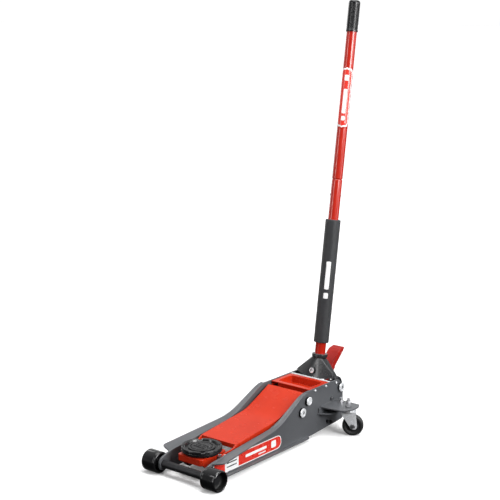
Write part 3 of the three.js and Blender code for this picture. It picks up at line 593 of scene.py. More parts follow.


# ---- Headed pins: bright turned faces, their barrels black oxide as painted shade ----
def headed_pin(spec, socket=0.0, inner=None):
    """A pin across the side plate with a chamfered head, a turned ring and a centre drilling."""
    seat = PLATE_OUTER + 0.3
    end = seat + spec["reach"]
    head = spec["head"]
    start = spec["inner"] if inner is None else inner
    ring = [
        (head - 3.2, end, 0.3),
        (head - 3.5, end - 0.5, 0.2),
        (head - 4.1, end - 0.5, 0.2),
        (head - 4.4, end, 0.3),
    ]
    middle = [(2, end, 0.3), (0, end - 1.6)]
    if socket:
        middle = [(socket, end, 0.4), (socket - 0.6, end - 3), (0, end - 3.2)]
    line = [
        (0, start),
        (spec["radius"], start, 0.6),
        (spec["radius"], seat),
        (head - 0.5, seat, 0.3),
        (head, seat + 0.6, 0.5),
        (head, end - 1.6, 0.5),
        (head - 1.5, end, 0.5),
        *ring,
        *middle,
    ]
    return turned(soften(line), 64)


def bright_face_painted_shade_barrel(face):
    """0, the bright metal, on faces that look sideways; 1, black oxide as painted shade, on the barrel and
    the rest.
    """
    return 0 if abs(face.normal.x) > 0.5 and abs(face.center.x) > (PLATE_OUTER + 2) * MM else 1


# Each barrel takes black oxide as painted shade; only the faces that look sideways are bright metal.
pin_metal_and_painted_shade = [ZINC, OXIDE]
for name, spec, socket in (("torque_rod_bolt", TORQUE_PIN, 4.5), ("yoke_bolt", YOKE_PIVOT, 5)):
    where = drawn_at(0, spec["y"], spec["z"], ALONG_X)
    make = partial(headed_pin, spec, socket)
    on_both_sides(name, make, where, pin_metal_and_painted_shade, "zinc", choose=bright_face_painted_shade_barrel)

FLIP_Z = Matrix.Scale(-1, 4, Vector((0, 0, 1)))
pivot_halves = merged(headed_pin(ARM_PIVOT, inner=0), moved(headed_pin(ARM_PIVOT, inner=0), FLIP_Z))
bmesh.ops.remove_doubles(pivot_halves, verts=pivot_halves.verts, dist=1e-4)
pivot_place = drawn_at(0, ARM_PIVOT["y"], ARM_PIVOT["z"], ALONG_X)
stand_in("arm_pivot_shaft", pivot_halves, pivot_place, pin_metal_and_painted_shade, "zinc", choose=bright_face_painted_shade_barrel)


# ---- Small screws ----
def hex_ring(radius, low, high, chamfer=0.5):
    """A hexagon bolt head between two heights."""
    angles = [math.radians(a) for a in range(0, 360, 60)]
    corners = [(radius * math.cos(a), radius * math.sin(a)) for a in angles]
    return moved(slab(corners, high - low, rim=chamfer), Matrix.Translation((0, 0, low)))


def button_screw(shank, head, seat, reach, start, socket):
    """A domed screw head with a hexagon socket in it, on its shank."""
    end = seat + reach
    line = [
        (0, start),
        (shank, start, 0.2),
        (shank, seat),
        (head - 0.2, seat, 0.2),
        (head, seat + 0.4, 0.3),
        (head * 0.96, seat + reach * 0.45, 0.6),
        (head * 0.72, end - 0.15, 0.6),
        (socket + 0.2, end, 0.2),
        (socket, end - 0.2),
        (socket, end - reach * 0.6),
        (0, end - reach * 0.62),
    ]
    return turned(soften(line), 24)


TRAY_SCREWS = {"y": (494, 548), "z": 145}
tray_screw = partial(button_screw, shank=2.2, head=3.6, seat=78.3, reach=3.0, start=71.8, socket=1.4)
for number, y in enumerate(TRAY_SCREWS["y"], 1):
    where = drawn_at(0, y, TRAY_SCREWS["z"], ALONG_X)
    on_both_sides(f"tray_screw_{number}", tray_screw, where, ZINC, "zinc")


# ---- Saddle ----
PAD = {
    "sides": 192,
    "slope": 0.8,
    "rim": 11,
    "floor": 6,
    "notch_half": 5,
    "notch_depth": 3.4,
    "middle": 38.2,
    "middle_rise": 4.2,
    "groove": 30,
    "groove_half": 1.6,
    "groove_depth": 2.6,
    "ridge_pitch": 9,
    "ridge_half": 3,
    "ridge_reach": 20,
    "ridge_rise": 1.6,
}
PAD_NOTCHES = [math.radians(a) for a in (45, 135, 225, 315)]


def clamped(share):
    return min(1, max(0, share))


def pad_height(r, angle):
    """The pad's upper face: a notched rim, and a middle with a groove and three ridges."""
    slope = PAD["slope"]
    on_rim = clamped((r - (SADDLE["radius"] - PAD["rim"])) / slope)
    z = SADDLE["top"] - PAD["floor"] + PAD["floor"] * on_rim
    gap = min(abs((angle - a + math.pi) % (2 * math.pi) - math.pi) for a in PAD_NOTCHES)
    notch = 1 - clamped((gap * r - PAD["notch_half"]) / slope)
    z -= PAD["notch_depth"] * notch * on_rim
    if r <= PAD["middle"]:
        z += PAD["middle_rise"] * min(1, (PAD["middle"] - r) / slope)
    groove = max(0, 1 - abs(r - PAD["groove"]) / PAD["groove_half"])
    z -= PAD["groove_depth"] * min(1, groove * 2)
    east, north = r * math.cos(angle), r * math.sin(angle)
    ridge = min(abs(north), abs(north - PAD["ridge_pitch"]), abs(north + PAD["ridge_pitch"]))
    if abs(east) < PAD["ridge_reach"]:
        z += PAD["ridge_rise"] * clamped((PAD["ridge_half"] - ridge) / slope)
    return min(z, SADDLE["top"])


def pad_ring(bm, r, height_at):
    """A ring of vertices of radius r, at the height that height_at gives for each angle."""
    spokes = [2 * math.pi * i / PAD["sides"] for i in range(PAD["sides"])]
    return [bm.verts.new((r * math.cos(a), r * math.sin(a), height_at(a))) for a in spokes]


def pad_rings(bm):
    """The pad's rings from its middle over the rim and down its side to the foot."""
    radius, top, bottom = SADDLE["radius"], SADDLE["top"], SADDLE["bottom"]
    last = 56
    radii = [0.8 * k for k in range(1, 36)]
    radii += [28.4, 29.2, 30, 30.8, 31.6, 33, 35, 37.4, 38.2, 40, 43, 45, 45.8, 48, 52, 55.2, last]
    rings = [pad_ring(bm, r, partial(pad_height, r)) for r in radii]
    rings.append(pad_ring(bm, radius, lambda a: top + min(-1.0, pad_height(last, a) - top - 0.6)))
    groove = [(radius, top - 6.0), (radius - 0.7, top - 6.8), (radius - 0.7, top - 8.0), (radius, top - 8.8)]
    foot = [(radius, bottom + 0.8), (radius - 0.8, bottom), (20, bottom)]
    for r, z in groove + foot:
        rings.append(pad_ring(bm, r, lambda a, z=z: z))
    return rings


def saddle_pad():
    """A rubber pad: raised rim with notches, a grooved and ridged middle, a groove round its side."""
    bm = bmesh.new()
    centre = bm.verts.new((0, 0, pad_height(0, 0)))
    rings = pad_rings(bm)
    first = rings[0]
    for i in range(PAD["sides"]):
        bm.faces.new([centre, first[i], first[(i + 1) % PAD["sides"]]])
    bridge(bm, rings)
    bm.faces.new(rings[-1])
    return bm


stand_in("saddle_pad", saddle_pad(), drawn_at(0, SADDLE["y"], 0), RUBBER, "black_rubber", angle=38)



def saddle_cup():
    """A dish under the pad, on the stem that it swivels on."""
    stem, cup, floor = SADDLE["stem"], SADDLE["cup"], SADDLE["cup_bottom"]
    stem_end, lip = 43, 65.7
    line = [
        (0, stem_end),
        (stem, stem_end, 1),
        (stem, floor, 1),
        (cup - 2, floor, 1.5),
        (cup, floor + 1.8, 0.6),
        (cup, lip, 0.4),
        (0, lip),
    ]
    return turned(soften(line), 96)


stand_in("saddle_cup", saddle_cup(), drawn_at(0, SADDLE["y"], 0), OXIDE, "black_oxide")


# ---- Casters ----
def caster_axle_frame():
    """Where the right-hand caster's axle lies, with Z along it."""
    yaw = Matrix.Rotation(math.radians(CASTER["yaw"]), 4, "Z")
    lay = Matrix.Rotation(math.radians(90), 4, "X")
    along = Matrix.Translation((CASTER["trail"], 0, CASTER["radius"]))
    return drawn_at(CASTER["x"], CASTER["y"], 0, yaw @ along @ lay)


def caster_wheel():
    """A rubber tyre with rounded shoulders and a mould line, on a ribbed hub."""
    radius, half = CASTER["radius"], CASTER["half"]
    side = [
        (4.3, half, 0),
        (8.6, half, 0.6),
        (9.4, half - 0.6, 0.4),
        (11.5, half - 3, 1),
        (21.5, half - 3, 1),
        (22.6, half - 0.6, 0.6),
        (23.6, half, 0.5),
        (24.4, half, 0.3),
        (24.7, half - 0.5, 0.2),
        (25.2, half - 0.5, 0.2),
        (25.5, half, 0.3),
        (radius - 3.4, half, 2.4),
        (radius, half - 3.6, 2.6),
        (radius, 0.5, 0.1),
    ]
    other = [(r, -h, *soft) for r, h, *soft in reversed(side)]
    return turned(soften(side + other, True), 96, closed=True)


def tyre_or_hub(face):
    """1 for the hub, 0 for the tyre round it."""
    centre = caster_place.translation
    reach = (Vector((abs(face.center.x), face.center.y, face.center.z)) - centre).length
    return int(reach < CASTER["hub"] * MM)


caster_place = caster_axle_frame()
tyre_materials = [TREAD, HUB]
on_both_sides("caster_wheel", caster_wheel, caster_place, tyre_materials, "caster_tread", choose=tyre_or_hub)


def caster_bolt():
    """A hexagon bolt through the fork, with a washer under its nut."""
    seat, radius, across = CASTER["half"] + 4.3, 4, 6.5
    top = seat + 0.8
    shank = turned([(0, -seat), (radius, -seat), (radius, seat), (0, seat)], 24)
    head = hex_ring(across, -seat - 5, -seat)
    washer_line = [(radius, seat), (7, seat, 0.2), (7, top, 0.2), (radius, top)]
    washer = turned(soften(washer_line, True), 32, closed=True)
    nut = hex_ring(across, top, seat + 4)
    return merged(shank, head, washer, nut)


on_both_sides("caster_bolt", caster_bolt, caster_place, STEEL, "zinc", angle=28)


def caster_kingpin():
    """A rivet, with the two-part ball race that the fork swivels on."""
    line = [
        (0, 64.2),
        (9, 64.2, 1.6),
        (9, 67.7, 0.6),
        (6, 67.7),
        (6, 75.3),
        (18, 75.3, 0.4),
        (21, 75.5, 0.6),
        (21, 77.3, 0.5),
        (20.2, 77.8, 0.3),
        (20.2, 78.5, 0.3),
        (21, 79, 0.5),
        (21, 81.2, 1.6),
        (17, 83.7, 1),
        (6, 83.7),
        (6, 88.3),
        (10, 88.3, 0.4),
        (10, 90.3, 1.6),
        (7, 92.2, 1.6),
        (2, 92.3, 0.5),
        (0, 91.8),
    ]
    return turned(soften(line), 64)


def painted_head(face):
    """1 for the rivet's head, which is painted with the bracket, 0 for the bright race below."""
    return int(face.center.z > 88.2 * MM)


kingpin_place = drawn_at(CASTER["x"], CASTER["y"], 0)
on_both_sides("caster_kingpin", caster_kingpin, kingpin_place, [ZINC, GREY], "zinc", choose=painted_head)


# ---- Handle: socket, tubes, sleeve, grip ----
def handle_socket():
    """The turned cup that the handle stands in, with a collar at its mouth and a stub below."""
    line = [
        (0, 2),
        (6, 2, 0.8),
        (6, 18, 1),
        (18.6, 18, 1.5),
        (18.6, 80.5, 1.5),
        (22.5, 80.5, 1),
        (24, 82, 0.8),
        (24, 91, 0.8),
        (23, 92, 0.6),
        (17, 92, 0.4),
        (16.3, 91.2, 0.4),
        (16.3, 24),
        (0, 24),
    ]
    return turned(soften(line), 64)


stand_in("handle_socket", handle_socket(), HANDLE_FRAME, BLACK_PAINT, "grey_paint")


def lower_tube():
    """The lower tube, swaged a little wider where the upper one slips in."""
    bore, tube, joint = HANDLE["bore"], HANDLE["tube"], HANDLE["joint"]
    line = [
        (bore, 24.3),
        (tube - 0.6, 24.3, 0.4),
        (tube, 25, 0.4),
        (tube, SNAP["height"] - 38, 8),
        (tube, joint - 2.2, 0.8),
        (tube - 1.5, joint, 0.5),
        (bore + 0.3, joint, 0.2),
        (bore, joint - 0.6),
    ]
    return turned(soften(line, True), 72, closed=True)


def upper_tube():
    """The upper tube, necked down below the joint to slip into the lower one."""
    bore, tube, joint = 11, HANDLE["tube"], HANDLE["joint"]
    top = HANDLE["top"] - 8
    line = [
        (bore, 545),
        (HANDLE["bore"] - 0.8, 545, 0.4),
        (HANDLE["bore"] - 0.3, 546, 0.4),
        (HANDLE["bore"] - 0.3, joint + 0.3),
        (tube - 1.7, joint + 0.3, 0.6),
        (tube, joint + 2.4, 0.8),
        (tube, top),
        (bore, top),
    ]
    return turned(soften(line, True), 72, closed=True)


def snap_button():
    """A sprung button, standing out of the tube by its rounded end."""
    radius = SNAP["radius"]
    line = [(0, 9), (radius, 9, 0.3), (radius, 16.6, 0.8), (radius - 0.8, 18.1, 1.2), (0, 18.6)]
    return turned(soften(line), 32)


stand_in("lower_tube", lower_tube(), HANDLE_FRAME, RED_TUBE, "red_paint")
stand_in("upper_tube", upper_tube(), HANDLE_FRAME, RED_TUBE, "red_paint")
for side, turn in (("right", 0), ("left", 180)):
    spin = Matrix.Rotation(math.radians(SNAP["azimuth"] + turn), 4, "Z")
    lift = Matrix.Translation((0, 0, SNAP["height"]))
    stand_in(f"snap_button_{side}", snap_button(), HANDLE_FRAME @ lift @ spin @ ALONG_X, ZINC, "zinc")


def foam_sleeve():
    """A slit-free foam tube, squeezed a little unevenly, its cut ends soft."""
    radius, bottom, top = SLEEVE["radius"], SLEEVE["bottom"], SLEEVE["top"]
    line = [(16.3, bottom), (radius - 1.6, bottom, 1), (radius - 0.4, bottom + 1.4, 1)]
    steps = 90
    for k in range(steps + 1):
        line.append((radius - 0.35, bottom + 3 + (top - bottom - 6) * k / steps))
    line += [(radius - 0.4, top - 1.4, 1), (radius - 1.6, top, 1), (16.3, top)]

    def wobble(angle, r, height):
        if r < radius - 3:
            return 0
        spot = Vector((math.cos(angle) * 1.3, math.sin(angle) * 1.3, height * 0.03))
        return 0.3 * noise.noise(spot) + 0.06 * noise.noise(spot * 9)

    return turned(soften(line, True, 3), 72, closed=True, wobble=wobble)


sleeve = stand_in("foam_sleeve", foam_sleeve(), HANDLE_FRAME, FOAM, "charcoal_foam", angle=50)


def handle_grip():
    """A rubber grip: a plain cuff below, fine rings up its length and a domed end."""
    radius, bottom, top = GRIP["radius"], GRIP["bottom"], HANDLE["top"]
    line = [(16.3, bottom), (radius + 0.6, bottom, 0.4), (radius + 0.8, bottom + 0.8, 0.5)]
    line += [(radius + 0.8, bottom + 5, 0.5), (radius, bottom + 6.2, 0.5)]
    groove = radius - 0.55
    z = bottom + 8.5
    while z < top - 13:
        line += [(radius, z, 0.3), (groove, z + 0.5, 0.3), (groove, z + 1.1, 0.3), (radius, z + 1.6, 0.3)]
        z += 3.4
    line += [(radius, top - 7, 3), (radius - 2, top - 2.4, 2.5), (radius - 7, top, 3)]
    line += [(3, top, 0.6), (2, top - 1, 0.4), (0, top - 1)]
    line += [(0, top - 7.6), (16.3, top - 7.6)]
    return turned(soften(line, True, 3), 64, closed=True)


stand_in("handle_grip", handle_grip(), HANDLE_FRAME, RUBBER, "black_rubber", angle=40)

# ---- Shield bolt ----
low, high = SHIELD_FACE["low"], SHIELD_FACE["high"]
shield_lean = math.atan2(high[0] - low[0], high[1] - low[1])
shield_turn = Matrix.Rotation(-shield_lean, 4, "X") @ Matrix.Translation((0, 0, SHIELD_FACE["height"]))
shield_place = drawn_at(0, *low, shield_turn @ Matrix.Rotation(math.radians(90), 4, "X"))


def shield_bolt():
    """A cylinder head with a bright face and a hollow in it, its side black oxide as painted shade."""
    line = [(0, -7), (4, -7), (4, 0.3), (8.6, 0.3, 0.3), (9, 0.8, 0.4), (9, 6.6, 0.6), (7.6, 8.3, 0.4)]
    line += [(4.6, 8.3, 0.3), (4.4, 5.2), (0, 5)]
    return turned(soften(line), 48)


def shield_bolt_bright_face_painted_shade_side(face):
    """0, the bright metal, on faces that look forwards; 1, black oxide as painted shade, on the side and the
    rest.
    """
    return 0 if face.normal.y < -0.7 else 1


# The bolt's side takes black oxide as painted shade.
stand_in("shield_bolt", shield_bolt(), shield_place, pin_metal_and_painted_shade, "zinc", choose=shield_bolt_bright_face_painted_shade_side)


# ---- Release valve, pump plunger and springs ----
KNURL = {"teeth": 24, "depth": 0.25, "low": 102.5, "high": 118.5, "inner": 8.5}


def knurled(angle, radius, height):
    if radius > KNURL["inner"] and KNURL["low"] < height < KNURL["high"]:
        return KNURL["depth"] * math.cos(KNURL["teeth"] * angle)
    return 0


def release_valve():
    """A spindle with a knurled head, under the handle."""
    line = [(0, 84.6), (6, 84.6, 0.6), (6, 100.4), (8.6, 102, 0.5)]
    line += [(8.75, 103), (8.75, 118), (8, 121, 1), (0, 121)]
    return turned(soften(line), 96, wobble=knurled)


stand_in("release_valve", release_valve(), drawn_at(0, HANDLE["y"], 0), STEEL, "steel")

# The pump's axis leans this far from upright, over to the front and down.
PUMP = {"x": 40, "lean": 216.87 - 90}
pump_lean = Matrix.Rotation(math.radians(PUMP["lean"]), 4, "X")
plunger_place = drawn_at(PUMP["x"], YOKE_PIVOT["y"], YOKE_PIVOT["z"], pump_lean)


def pump_plunger():
    """A rod with a domed head for the cam and a collar for the spring."""
    rod, collar = 6, 9
    line = [(0, 23.5), (4, 24.3, 1), (7.5, 26.5, 1), (collar, 28.5, 0.6), (collar, 31.5, 0.4)]
    line += [(rod, 31.5), (rod, 66, 0.6), (0, 66)]
    return turned(soften(line), 48)


stand_in("pump_plunger", pump_plunger(), plunger_place, CHROME, "steel")


def coil(radius, wire, low, high, turns, ends=1.0):
    """A compression spring whose end turns lie closed."""
    steps = int(turns * 28)
    points = []
    for k in range(steps + 1):
        t = k / steps
        angle = 2 * math.pi * turns * t
        share = min(1, max(0, (t - ends / turns * 0.5) / (1 - ends / turns)))
        share = 0.9 * share + 0.1 * t
        height = low + wire + (high - low - 2 * wire) * share
        points.append(Vector((radius * math.cos(angle), radius * math.sin(angle), height)))
    return tube_along(points, wire)


PUMP_SPRING = {"radius": 8, "wire": 1.0, "low": 32.2, "high": 45.6, "turns": 4}
node = "pump_spring"
pump_spring = piece(f"{node}_detailed", coil(**PUMP_SPRING), plunger_place, STEEL, None, "steel", (node,))
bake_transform(pump_spring)


# Each return spring is held by the block and drawn out forwards by the ram as the arm rises.
RETURN_SPRING = {"radius": 5, "wire": 1.1, "low": 498, "high": 544.7, "turns": 11}
SPRING_LINE = {"x": 44, "z": 73, "block_end": 543, "ram_end": 500}
spring_place = drawn_at(SPRING_LINE["x"], 0, SPRING_LINE["z"], Matrix.Rotation(math.radians(-90), 4, "X"))
block_point = place(0, SPRING_LINE["block_end"], SPRING_LINE["z"])
ram_point = place(0, SPRING_LINE["ram_end"], SPRING_LINE["z"])
for side, mirror in SIDES:
    node = f"return_spring_{side}"
    spring_shape = coil(**RETURN_SPRING)
    spring = piece(f"{node}_detailed", spring_shape, mirror @ spring_place, STEEL, None, "steel", (node,))
    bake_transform(spring)


# ---- Small fasteners and welds on the frame ----
def on_plate(bm_maker, y, z):
    """Places a shape drawn along +Z from 0 on both side plates' outer faces."""
    for side, mirror in SIDES:
        yield side, bm_maker(), mirror @ drawn_at(PLATE_OUTER, y, z, ALONG_X)


def cap_head(radius, height, socket):
    """A cylinder head with a round socket in it."""
    line = [(0, 0), (radius, 0), (radius, height - 0.6, 0.5), (radius - 0.6, height, 0.4)]
    line += [(socket + 0.3, height, 0.2), (socket, height - 0.3), (socket, height * 0.4), (0, height * 0.38)]
    return turned(soften(line), 32)


# Places on the side plate, as (y, z).
FOOT_BOLTS = ((557.7, 32), (574.5, 26.5))
REAR_SCREW = (602, 143)
foot_bolt = partial(cap_head, radius=5.2, height=6, socket=2.4)
rear_screw = partial(cap_head, radius=3.4, height=3, socket=1.4)
for number, (y, z) in enumerate(FOOT_BOLTS, 1):
    for side, bm, where in on_plate(foot_bolt, y, z):
        piece(f"foot_bolt_{number}_{side}", bm, where, OXIDE, "chassis", "black_oxide")
for side, bm, where in on_plate(rear_screw, *REAR_SCREW):
    piece(f"rear_screw_{side}", bm, where, ZINC, "chassis", "zinc")


def stud_with_nut():
    """A threaded end with its washer and nut."""
    washer = turned(soften([(0, 0), (8.5, 0, 0.3), (8.5, 1.4, 0.4), (0, 1.4)]), 40)
    nut = hex_ring(7.4, 1.4, 7.4, 0.7)
    line = [(0, 7)]
    z = 7.2
    while z < 14:
        line += [(3.5, z, 0), (4.2, z + 0.5, 0)]
        z += 1
    line += [(3.2, z + 0.6), (0, z + 0.6)]
    return merged(washer, nut, turned(soften(line), 32))


# Studs stand on the caster shelf, at (x, y).
SHELF_TOP = 88
SHELF_STUDS = ((101, 596), (124, 603))
for number, (x, y) in enumerate(SHELF_STUDS, 1):
    for side, mirror in SIDES:
        where = mirror @ drawn_at(x, y, SHELF_TOP)
        piece(f"shelf_nut_{number}_{side}", stud_with_nut(), where, STEEL, "chassis", "zinc", angle=28)


def weld_bead(start, end, radius, seed):
    """A laid bead: overlapping ripples along a line."""
    ripple_pitch = 3.2
    sides = 10
    start, end = Vector(start), Vector(end)
    length = (end - start).length
    steps = max(8, int(length / 0.7))
    ahead = (end - start).normalized()
    side = ahead.cross(Vector((0.1, 0.2, 1))).normalized()
    up = side.cross(ahead).normalized()
    bm = bmesh.new()
    rings = []
    for k in range(steps + 1):
        t = k / steps
        ripple = 0.82 + 0.18 * abs(math.sin(math.pi * t * length / ripple_pitch))
        drift = 0.25 * noise.noise(Vector((t * length * 0.12, seed, 0)))
        r = radius * ripple * min(1, 0.35 + 6 * t, 0.35 + 6 * (1 - t))
        middle = start + ahead * length * t + side * drift
        rings.append(ring_round(bm, middle, side, up, r, sides))
    return capped(bm, rings)


WELDS = {
    "shelf_weld_top": ((79.2, 523, 88.6), (79.2, 611, 88.6)),
    "shelf_weld_floor": ((79.2, 509, 64.0), (79.2, 600, 64.0)),
}
for number, (name, (start, end)) in enumerate(WELDS.items()):
    for side, mirror in SIDES:
        bead = weld_bead(start, end, 1.7, number + 0.5)
        piece(f"{name}_{side}", bead, mirror @ drawn_at(), GREY, "chassis", "grey_paint", angle=60)


# ---- Labels: plain blocks of colour, with no lettering ----
def film(corners, lift, thick=0.12):
    """A label piece on the right-hand side plate, from a (y, z, soft) outline."""
    bm = slab(corners, thick, 10)
    # The outline's axes (a, b, up) become (Y, Z, X).
    axes = Matrix(((0, 0, 1, 0), (1, 0, 0, 0), (0, 1, 0, 0), (0, 0, 0, 1)))
    return moved(bm, Matrix.Translation((PLATE_OUTER + lift, 0, 0)) @ axes)


LABEL = {"front": 33, "rear": 331, "low": 16.6, "high": 56.4}


def stadium(inset):
    """The plate label's outline, drawn in by inset: square in front, round behind."""
    front, rear = LABEL["front"] + inset, LABEL["rear"] - inset
    low, high = LABEL["low"] + inset, LABEL["high"] - inset
    round_end = (high - low) * 0.5
    return [(front, low, 4), (rear, low, round_end * 1.12), (rear, high, round_end * 1.12), (front, high, 4)]


def block(front, rear, low, high, soft):
    return [(front, low, soft), (rear, low, soft), (rear, high, soft), (front, high, soft)]


# Each part is (outline, lift off the plate, colour).
LABEL_PARTS = {
    "plate_label_border": (stadium(0), 0.02, LABEL_WHITE),
    "plate_label_field": (stadium(2.4), 0.16, LABEL_RED),
    "plate_label_panel": (block(80, 138, 19, 54, 1), 0.30, LABEL_WHITE),
    "plate_label_line_1": (block(88, 130, 28, 31.5, 0.6), 0.44, LABEL_BLACK),
    "plate_label_line_2": (block(88, 130, 39, 42.5, 0.6), 0.44, LABEL_BLACK),
    "plate_label_bar": (block(168, 262, 34, 42, 2), 0.30, LABEL_WHITE),
    "plate_label_dash": (block(226, 258, 25, 28.5, 1), 0.30, LABEL_WHITE),
    "plate_label_dot": (block(284, 306, 27, 47, 5), 0.30, LABEL_WHITE),
}
for name, (corners, lift, material) in LABEL_PARTS.items():
    piece(name, film(corners, lift), drawn_at(), material, "chassis")


def rounded_share(to_end, soft):
    """How wide a label with round ends is at a distance from its end, as a share of its full width."""
    if to_end < soft:
        return math.sqrt(max(0.0, 1 - (1 - to_end / soft) ** 2))
    return 1.0


def wrapped_row(bm, radius, middle, half, height, across):
    """A row of vertices on the handle, from one edge of a label to the other."""
    row = []
    for i in range(across + 1):
        angle = middle - half + 2 * half * i / across
        row.append(bm.verts.new((radius * math.cos(angle), radius * math.sin(angle), height)))
    return row


def wrapped(radius, azimuth, low, high, spread, soft, lift, thick=0.15):
    """A label wrapped round the handle, half its width given in degrees by spread.

    Its ends round over within soft of the ends.
    """
    bm = bmesh.new()
    across, along = 28, 60
    least_half = 0.004
    middle = math.radians(azimuth - 90)
    layers = []
    for r in (radius + lift, radius + lift + thick):
        grid = []
        for j in range(along + 1):
            height = low + (high - low) * j / along
            share = rounded_share(min(height - low, high - height), soft)
            half = max(math.radians(spread) * share, least_half)
            grid.append(wrapped_row(bm, r, middle, half, height, across))
        layers.append(grid)
    inner, outer = layers
    for grid in layers:
        for a, b in zip(grid, grid[1:]):
            for i in range(across):
                bm.faces.new([a[i], a[i + 1], b[i + 1], b[i]])
    for end in (0, -1):
        for i in range(across):
            bm.faces.new([inner[end][i], inner[end][i + 1], outer[end][i + 1], outer[end][i]])
    for j in range(along):
        for edge in (0, -1):
            bm.faces.new([inner[j][edge], inner[j + 1][edge], outer[j + 1][edge], outer[j][edge]])
    return bm


# Each label is (radius, azimuth, low end, high end, half its width, end rounding, lift, colour).
TUBE_LABELS = {
    "tube_label_border": (16, 25, 784, 964, 74, 14, 0.03, LABEL_WHITE),
    "tube_label_field": (16, 25, 789, 959, 60, 12, 0.2, LABEL_RED),
    "tube_label_bar": (16, 30, 826, 900, 19, 2, 0.36, LABEL_WHITE),
    "tube_label_block": (16, 30, 805, 819, 19, 2, 0.36, LABEL_WHITE),
    "tube_label_dot": (16, 30, 924, 942, 22, 3, 0.36, LABEL_WHITE),
    "sleeve_mark_bar": (23.45, 34, 292, 378, 17, 2, 0.05, LABEL_WHITE),
    "sleeve_mark_block": (23.45, 34, 264, 282, 17, 2, 0.05, LABEL_WHITE),
}
for name, (*sizes, material) in TUBE_LABELS.items():
    piece(name, wrapped(*sizes), HANDLE_FRAME, material, "handle")


# ---- Camera, light and floor ----
CAMERA = {
    "at": (2.062599, -2.650655, 1.265044),
    "azimuth": 38.961,
    "elevation": 11.584,
    "roll": 0.103,
    "lens": 86.41,
}


def make_camera():
    azimuth, elevation, roll = (math.radians(CAMERA[k]) for k in ("azimuth", "elevation", "roll"))
    level = math.cos(elevation)
    back = Vector((math.sin(azimuth) * level, -math.cos(azimuth) * level, math.sin(elevation)))
    right = Vector((math.cos(azimuth), math.sin(azimuth), 0))
    up = back.cross(right)
    right, up = right * math.cos(roll) + up * math.sin(roll), up * math.cos(roll) - right * math.sin(roll)
    data = bpy.data.cameras.new("camera")
    data.sensor_width = 36
    data.lens = CAMERA["lens"]
    camera = bpy.data.objects.new("camera", data)
    turn = Matrix((right, up, back)).transposed()
    camera.matrix_world = Matrix.Translation(CAMERA["at"]) @ turn.to_4x4()
    bpy.context.scene.collection.objects.link(camera)
    bpy.context.scene.camera = camera


def area_light(name, at, aim, size, power):
    data = bpy.data.lights.new(name, "AREA")
    data.shape = "RECTANGLE"
    data.size, data.size_y = size
    data.energy = power
    light = bpy.data.objects.new(name, data)
    light.location = at
    light.rotation_mode = "QUATERNION"
    light.rotation_quaternion = (Vector(aim) - Vector(at)).to_track_quat("-Z", "Y")
    bpy.context.scene.collection.objects.link(light)


FLOOR_HALF = 60


def make_floor():
    """A pale, endless sweep under the jack."""
    bm = bmesh.new()
    bmesh.ops.create_grid(bm, x_segments=8, y_segments=8, size=FLOOR_HALF)
    mesh = bpy.data.meshes.new("studio_floor")
    bm.to_mesh(mesh)
    bm.free()
    floor = bpy.data.objects.new("studio_floor", mesh)
    bpy.context.scene.collection.objects.link(floor)
    n = Nodes("pale_floor")
    body = n.mix(n.spread(n.noise(0.6), 0, 1), (0.90, 0.90, 0.90), (0.88, 0.88, 0.885))
    mesh.materials.append(n.finish(Base_Color=body, Roughness=n.spread(n.noise(2), 0.75, 0.85)))
    # The sweep is lit more brightly away from the jack, as a lit backdrop is.
    away = n.add("ShaderNodeVectorMath", operation="LENGTH")
    n.link(n.place, away.inputs[0])
    n.finish(Emission_Strength=n.spread(away.outputs["Value"], 0.12, 1.0, 0.9, 3.5))
    n.finish(Specular_IOR_Level=0.2, Emission_Color=(1, 1, 1, 1))
    # The light that the floor would throw back up is kept off the jack, so its underside stays dark.
    floor.visible_diffuse = False
    floor.visible_glossy = False
    floor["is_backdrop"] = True


# Each range is (from, to, value at from, value at to).
ROOM = {
    "behind": (-0.61, 0.76, 0.2),
    "wall": (-0.3, 0.75, 0.13, 1.05),
    "below": (-0.12, 0.0, 0.05, 1.0),
    "ceiling": (0.03, 0.45, 1.0, 0.4),
}


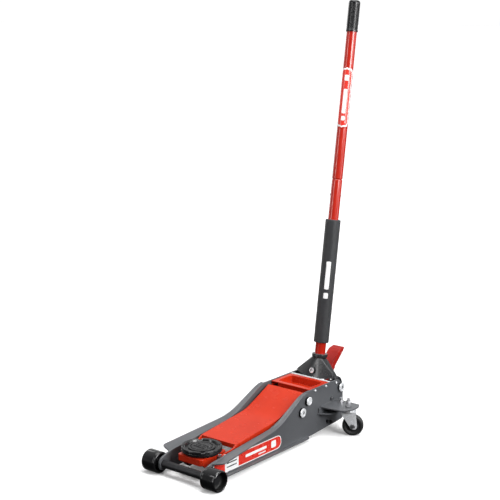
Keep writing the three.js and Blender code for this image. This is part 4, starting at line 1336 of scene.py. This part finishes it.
def make_world():
    """A dark room round the jack, with a bright wall behind it that fades towards the ceiling."""
    world = bpy.data.worlds.new("studio")
    bpy.context.scene.world = world
    world.use_nodes = True
    tree = world.node_tree
    direction = tree.nodes.new("ShaderNodeTexCoord").outputs["Generated"]

    def faded(value, limits):
        fade = tree.nodes.new("ShaderNodeMapRange")
        fade.interpolation_type = "SMOOTHSTEP"
        for key, limit in zip(("From Min", "From Max", "To Min", "To Max"), limits):
            fade.inputs[key].default_value = limit
        tree.links.new(value, fade.inputs["Value"])
        return fade.outputs["Result"]

    def product(a, b):
        both = tree.nodes.new("ShaderNodeMath")
        both.operation = "MULTIPLY"
        tree.links.new(a, both.inputs[0])
        tree.links.new(b, both.inputs[1])
        return both.outputs["Value"]

    facing = tree.nodes.new("ShaderNodeVectorMath")
    facing.operation = "DOT_PRODUCT"
    facing.inputs[1].default_value = ROOM["behind"]
    tree.links.new(direction, facing.inputs[0])
    height = tree.nodes.new("ShaderNodeSeparateXYZ")
    tree.links.new(direction, height.inputs[0])
    wall = faded(facing.outputs["Value"], ROOM["wall"])
    upright = product(faded(height.outputs["Z"], ROOM["below"]), faded(height.outputs["Z"], ROOM["ceiling"]))
    tree.links.new(product(wall, upright), tree.nodes["Background"].inputs["Color"])


# Each light is (place, aim, (width, height), power), in metres and watts.
LIGHTS = {
    "overhead": ((0.2, 0.1, 3.2), (0, 0, 0.1), (1.9, 2.5), 88),
    "left_strip": ((-2.6, 0.9, 1.1), (0, 0.1, 0.5), (0.8, 2.4), 14),
    "right_strip": ((2.4, 1.4, 1.2), (0, 0.1, 0.5), (0.8, 2.4), 20),
    "right_key": ((3.0, -0.2, 1.7), (0.1, 0, 0.1), (1.4, 1.8), 122),
    "tube_strip": ((-1.0, -2.6, 1.2), (0, 0.3, 0.7), (0.4, 2.2), 22),
    "front_strip": ((-0.6, -2.6, 2.6), (0, -0.3, 0.05), (3.2, 0.22), 16),
}

make_camera()
make_floor()
make_world()
for name, light in LIGHTS.items():
    area_light(name, *light)
bpy.context.scene.view_settings.view_transform = "Standard"

visual_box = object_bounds()
sizes = {"cad": [list(corner) for corner in cad_box], "visual": [list(corner) for corner in visual_box]}
